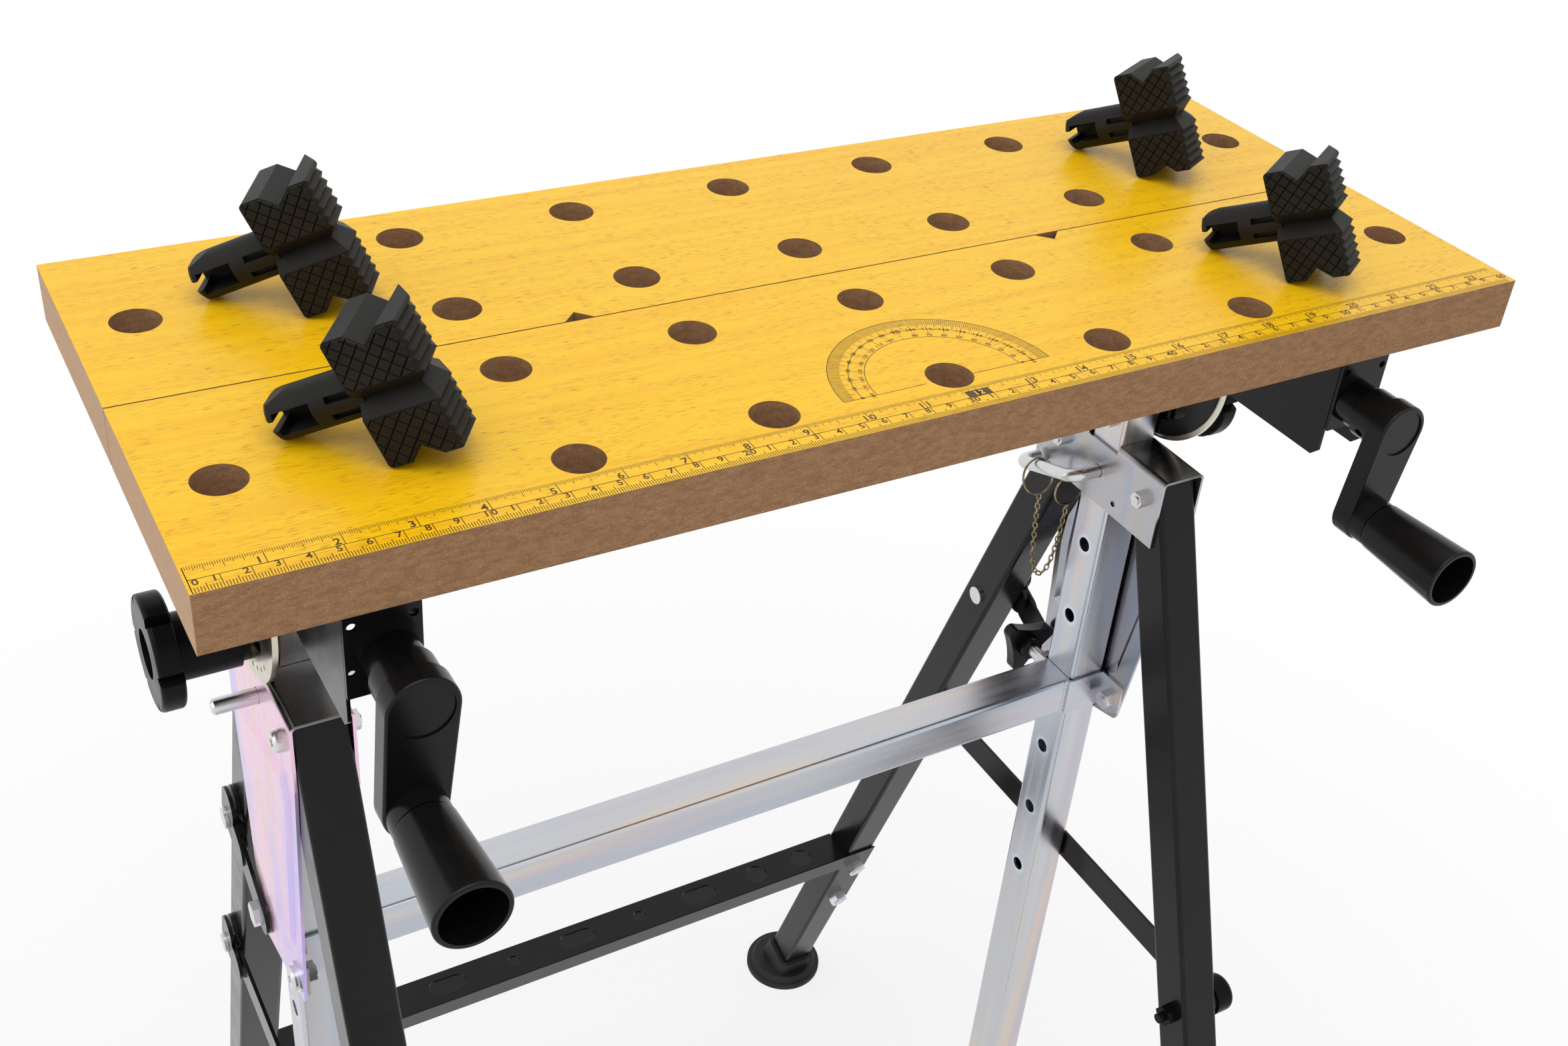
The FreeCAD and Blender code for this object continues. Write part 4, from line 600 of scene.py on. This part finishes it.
def printedProtractor():
    s = protractor
    line = printing["line"]
    cx, cy = s["centre"]
    outer, labels, inner = s["arcs"]
    bm = bmesh.new()

    def at(radius, degrees):
        turn = math.radians(degrees)
        return (cx - radius * math.cos(turn), cy + radius * math.sin(turn))

    for radius in s["arcs"]:
        for k in range(s["pieces"]):
            printMark(bm, at(radius, s["step"] * k), at(radius, s["step"] * (k + 1)), line)
    for k in range(181):
        reach = outer - inner if k % 10 == 0 else s["halfReach"] if k % 5 == 0 else s["reach"]
        printMark(bm, at(outer, k), at(outer - reach, k),
                  s["tenWidth"] if k % 10 == 0 else s["tickWidth"])
    for k in range(0, 181, 10):
        angle = math.radians(90 - k)
        size = s["digit"] * (s["middleSize"] if k == 90 else 1)
        printNumber(bm, str(k), at(labels - size * s["outerDrop"], k), size, angle)
        if k != 90:
            printNumber(bm, str(180 - k), at(inner + s["innerRise"], k),
                        s["digit"] * s["innerSize"], angle)
    for side in (-1, 1):
        printMark(bm, (cx + side * outer, cy), (cx + side * s["holeClear"], cy), line)
    onBoard(bm)
    addPiece("printedProtractor", bm, "top", scaleInk)


printedScale()
printedFoot()
printedProtractor()
print("printed scale")


# Chains with their split rings

chainShape = {
    "linkLength": 4.7, "linkWidth": 3.5, "wire": 0.50, "linkSteps": (12, 5), "pitch": 3.45,
    "twist": 35, "twistStep": 90, "drop": 58.0, "tightRange": (0.05, 40.0), "tries": 60,
    "ringRadius": 10.75, "coil": 0.42, "coilGap": 0.38, "ringSteps": (40, 8), "seat": 0.85,
    "droop": 20.0, "barX": 205.5, "barY": 31.0, "barZ": 699.7, "barRadius": 3.8,
    "plateX": 223.45, "plateY": 20.0, "plateZ": 685.0, "shiftY": 12.969,
}


def asMesh(part):
    mesh = bpy.data.meshes.new("shape")
    part.to_mesh(mesh)
    part.free()
    return mesh


def ringPart(radius, wire, steps, segments):
    part = bmesh.new()
    bmesh.ops.create_circle(part, segments=segments, radius=wire)
    bmesh.ops.rotate(part, matrix=Matrix.Rotation(math.pi / 2, 3, "X"), verts=part.verts)
    bmesh.ops.translate(part, vec=(radius, 0, 0), verts=part.verts)
    bmesh.ops.spin(part, geom=part.verts[:] + part.edges[:], cent=(0, 0, 0), axis=(0, 0, 1),
                   angle=2 * math.pi, steps=steps, use_merge=True)
    bmesh.ops.recalc_face_normals(part, faces=part.faces)
    return part


def linkPart(length, width, wire, steps, segments):
    # one oval chain link along Z, from a ring pulled apart at its middle
    part = ringPart(width / 2 - wire, wire, steps, segments)
    bmesh.ops.rotate(part, matrix=Matrix.Rotation(math.pi / 2, 3, "X"), verts=part.verts)
    for side in (1, -1):
        picked = [v for v in part.verts if v.co.z * side > 1e-9]
        bmesh.ops.translate(part, vec=(0, 0, side * (length - width) / 2), verts=picked)
    return part


def hangingChain(start, end):
    # places and directions of links on a free hanging curve, in equal steps of its length
    s = chainShape
    drop = s["drop"]
    flat = Vector((end.x - start.x, end.y - start.y, 0))
    low, high = s["tightRange"]
    for turn in range(s["tries"]):
        tight = (low + high) / 2
        reach = [tight * math.acosh(1 + deep / tight) for deep in (drop, drop - start.z + end.z)]
        if sum(reach) > flat.length:
            high = tight
        else:
            low = tight
    arc = [tight * math.sinh(part / tight) for part in reach]
    count = round(sum(arc) / s["pitch"])
    spots = []
    for k in range(count):
        along = -arc[0] + (k + 0.5) * sum(arc) / count
        across = (tight * math.asinh(along / tight) + reach[0]) / flat.length
        steep = math.hypot(tight, along)
        way = flat.normalized() * (tight / steep) + Vector((0, 0, along / steep))
        spot = Vector((start.x, start.y, start.z - drop + steep - tight)) + flat * across
        spots.append((spot, way))
    return spots


def addChain(side):
    s = chainShape
    droop = math.radians(s["droop"])
    onBar = Vector((s["barX"], s["barY"], s["barZ"] - s["barY"] * math.tan(droop)))
    down = Vector((0, -math.sin(droop), -math.cos(droop)))
    leaning = Vector((0, math.cos(droop), -math.sin(droop)))
    first = onBar + down * (s["ringRadius"] - s["barRadius"] - s["seat"])
    second = Vector((s["plateX"], s["plateY"], s["plateZ"] - s["ringRadius"] + s["seat"]))
    ringMesh = asMesh(ringPart(s["ringRadius"], s["coil"], *s["ringSteps"]))
    linkMesh = asMesh(linkPart(s["linkLength"], s["linkWidth"], s["wire"], *s["linkSteps"]))
    bm = bmesh.new()
    for centre, normal in ((first, leaning), (second, Vector((0, 1, 0)))):
        turn = Vector((0, 0, 1)).rotation_difference(normal).to_matrix().to_4x4()
        for step in (-s["coilGap"], s["coilGap"]):
            addShape(bm, ringMesh, Matrix.Translation(centre + normal * step) @ turn)
    start = first + down * s["ringRadius"]
    end = second - Vector((0, 0, s["ringRadius"]))
    for k, (spot, way) in enumerate(hangingChain(start, end)):
        turn = way.to_track_quat("Z", "X").to_matrix().to_4x4()
        twist = Matrix.Rotation(math.radians(s["twist"] + s["twistStep"] * k), 4, "Z")
        addShape(bm, linkMesh, Matrix.Translation(spot) @ turn @ twist)
    place = Matrix.Diagonal((side * mm, mm, mm, 1)) @ Matrix.Translation((0, s["shiftY"], 0))
    bmesh.ops.transform(bm, matrix=place, verts=bm.verts)
    bmesh.ops.recalc_face_normals(bm, faces=bm.faces)
    name = "right" if side > 0 else "left"
    chain = addPiece("chain_" + name, bm, None, chainBrass, smooth=True)
    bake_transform(chain)
    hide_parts("pin_chain_" + name)


for side in (-1, 1):
    addChain(side)
print("chains")


# Knurled faces of the swivel grips

knurl = {
    "pitch": 4.2, "gap": 0.42, "height": 0.55, "edge": 0.5, "half": 26.0, "groove": 5.8,
    "thick": 30.0, "nearLength": 28.0, "farLength": 20.4, "depth": 32.0, "notch": (9.2, 14.9, 21.6),
    "notchDepth": 5.4, "cutCorner": 4.4, "smallest": 2.2, "cuts": 14, "leanRise": 16.5,
    "leanRun": 34.5,
    "turns": {"rear_left": -28.5, "front_left": -33.8, "rear_right": -62.4, "front_right": -59.4},
}


def knurlTiles(outline):
    # outline cut into diamonds, each raised on sloping sides
    s = knurl
    part = bmesh.new()
    part.faces.new([part.verts.new((*corner, 0)) for corner in outline])
    for side in (1, -1):
        way = Vector((1, side, 0)).normalized()
        for k in range(-s["cuts"], s["cuts"] + 1):
            bmesh.ops.bisect_plane(part, geom=part.verts[:] + part.edges[:] + part.faces[:],
                                   plane_co=way * s["pitch"] * (k + 0.5), plane_no=way)
    tiny = [face for face in part.faces if face.calc_area() < s["smallest"]]
    bmesh.ops.delete(part, geom=tiny, context="FACES")
    for face in part.faces:
        if face.normal.z < 0:
            face.normal_flip()
    bmesh.ops.inset_individual(part, faces=part.faces[:], thickness=s["gap"], depth=s["height"])
    return asMesh(part)


def knurlOutline(length, side):
    # half of a jaw's face, with its V notch whole or cut off by a shorter length
    s = knurl
    top = s["half"] - s["edge"]
    low, middle, high = s["notch"]
    root = s["half"] - s["notchDepth"]
    points = [(s["edge"], s["groove"]), (length, s["groove"])]
    if high < length:
        points += [(length, top), (high, top)]
    else:
        points.append((length, root + s["cutCorner"]))
    points += [(middle, root - s["edge"]), (low, top), (s["edge"], top)]
    return [(v, side * u) for v, u in points]


def addKnurl(name):
    s = knurl
    turn = math.radians(s["turns"][name])
    lean = math.atan(s["leanRise"] / s["leanRun"])
    along = Vector((math.cos(turn) * math.cos(lean), math.sin(turn) * math.cos(lean),
                    math.sin(lean)))
    deep = Vector((-math.sin(turn), math.cos(turn), 0))
    up = Vector((-math.cos(turn) * math.sin(lean), -math.sin(turn) * math.sin(lean),
                 math.cos(lean)))
    points = [v.co for v in nodes["swivel_grip_" + name].data.vertices]
    ups = [p.dot(up) for p in points]
    origin = along * (max(p.dot(along) for p in points) - s["thick"] * mm)
    origin += deep * min(p.dot(deep) for p in points) + up * (max(ups) + min(ups)) / 2
    bm = bmesh.new()
    for length, depth, out in ((s["nearLength"], 0, -1), (s["farLength"], s["depth"], 1)):
        axes = Matrix((along, up, deep * out)).transposed().to_4x4()
        place = Matrix.Translation(origin + deep * depth * mm) @ axes
        for side in (1, -1):
            addShape(bm, knurlTiles(knurlOutline(length, side)),
                     place @ Matrix.Diagonal((mm, mm, mm, 1)))
    middle = origin.dot(deep) + s["depth"] * mm / 2
    for face in bm.faces:
        outward = -deep if face.calc_center_median().dot(deep) < middle else deep
        if face.normal.dot(outward) < 0:
            face.normal_flip()
    piece = addPiece("knurl_" + name, bm, "grip_" + name, gripPlastic)


for name in knurl["turns"]:
    addKnurl(name)
print("knurl")


# Weld beads between crossbar and sleeves

weld = {
    "x": 222.6, "faceY": 0.469, "low": 531.0, "high": 553.0, "count": 9,
    "radius": (2.1, 0.9, 1.9), "segments": (14, 8),
}


def addWeld(side):
    s = weld
    bm = bmesh.new()
    around, rings = s["segments"]
    for k in range(s["count"]):
        z = s["low"] + (s["high"] - s["low"]) * k / (s["count"] - 1)
        place = Matrix.Translation((side * s["x"] * mm, s["faceY"] * mm, z * mm))
        shape = Matrix.Diagonal((*[r * mm for r in s["radius"]], 1))
        bmesh.ops.create_uvsphere(bm, u_segments=around, v_segments=rings, radius=1.0,
                                  matrix=place @ shape)
    name = "weld_" + ("right" if side > 0 else "left")
    piece = addPiece(name, bm, "frame", zincPlain, smooth=True)


for side in (-1, 1):
    addWeld(side)


# Camera and light

print("camera and light")

view = {
    "place": (-0.38338, -0.61631, 1.23397), "turn": (0.98503582, -0.08748048, -0.52774047),
    "focal": 40.97, "sensor": 36, "shift": (-0.02067, -0.02131), "near": 0.02,
}
camera = bpy.data.objects.new("camera", bpy.data.cameras.new("camera"))
bpy.context.scene.collection.objects.link(camera)
camera.location = view["place"]
camera.rotation_euler = view["turn"]
camera.data.lens = view["focal"]
camera.data.sensor_width = view["sensor"]
camera.data.shift_x, camera.data.shift_y = view["shift"]
camera.data.clip_start = view["near"]
bpy.context.scene.camera = camera
bpy.context.scene.view_settings.view_transform = "Standard"

studio = {
    "overhead": {"place": (-0.4, -0.5, 2.9), "size": (2.4, 2.0), "power": 26.0},
    "side": {"place": (-2.6, 0.3, 1.3), "size": (1.4, 2.0), "power": 9.0},
    "target": (0, 0, 0.6), "world": 0.62, "white": (1.0, 1.0, 1.0),
    "floor": (0.92, 0.92, 0.92), "paper": (0.86, 0.86, 0.86), "paperCover": 0.05,
    "paperGrain": (even, 60.0, 2.0, 0.55), "leastWhite": 0.76, "whiteBand": (0.35, 1.3),
    "floorSize": 12.0,
}


def softLight(name):
    s = studio[name]
    light = bpy.data.lights.new(name, "AREA")
    light.shape = "RECTANGLE"
    light.size, light.size_y = s["size"]
    light.energy = s["power"]
    lamp = bpy.data.objects.new(name, light)
    lamp.location = s["place"]
    way = Vector(studio["target"]) - Vector(s["place"])
    lamp.rotation_euler = way.to_track_quat("-Z", "Y").to_euler()
    bpy.context.scene.collection.objects.link(lamp)


def seenRays(f, *kinds):
    # 1 for the named kinds of rays, 0 for the rest
    rays = f.node("ShaderNodeLightPath").socket.node.outputs
    first, *others = [Wire(f, rays["Is %s Ray" % kind]) for kind in kinds]
    for other in others:
        first = first.math("MAXIMUM", other)
    return first


def whiteWorld():
    world = bpy.data.worlds.new("studio")
    bpy.context.scene.world = world
    f = Finish(world)
    seen = seenRays(f, "Camera", "Glossy", "Transmission")
    sky = f.node("ShaderNodeBackground", None, {"Color": studio["white"],
                                                "Strength": seen + (1 - seen) * studio["world"]})
    f.node("ShaderNodeOutputWorld", None, {"Surface": sky})


def floorSheet():
    # pale floor that turns to plain white away from the object, and keeps its shadow
    f = newFinish("floorWhite")
    s = studio
    x, y, z = f.axes()
    reach = (x * x + y * y).math("SQRT")
    away = reach.band(*s["whiteBand"]) * (1 - s["leastWhite"]) + s["leastWhite"]
    colour = f.mix(f.grain(s["paperGrain"]) * s["paperCover"], s["floor"], s["paper"])
    diffuse = f.node("ShaderNodeBsdfDiffuse", None, {"Color": colour})
    glow = f.node("ShaderNodeEmission", None, {"Color": s["white"], "Strength": 1.0})
    both = f.node("ShaderNodeMixShader", None,
                  {0: away * seenRays(f, "Camera", "Glossy"), 1: diffuse, 2: glow})
    f.node("ShaderNodeOutputMaterial", None, {"Surface": both})
    bm = bmesh.new()
    bmesh.ops.create_grid(bm, x_segments=1, y_segments=1, size=s["floorSize"])
    addPiece("floor", bm, None, f.material)


for name in ("overhead", "side"):
    softLight(name)
whiteWorld()
floorSheet()

print("finished")
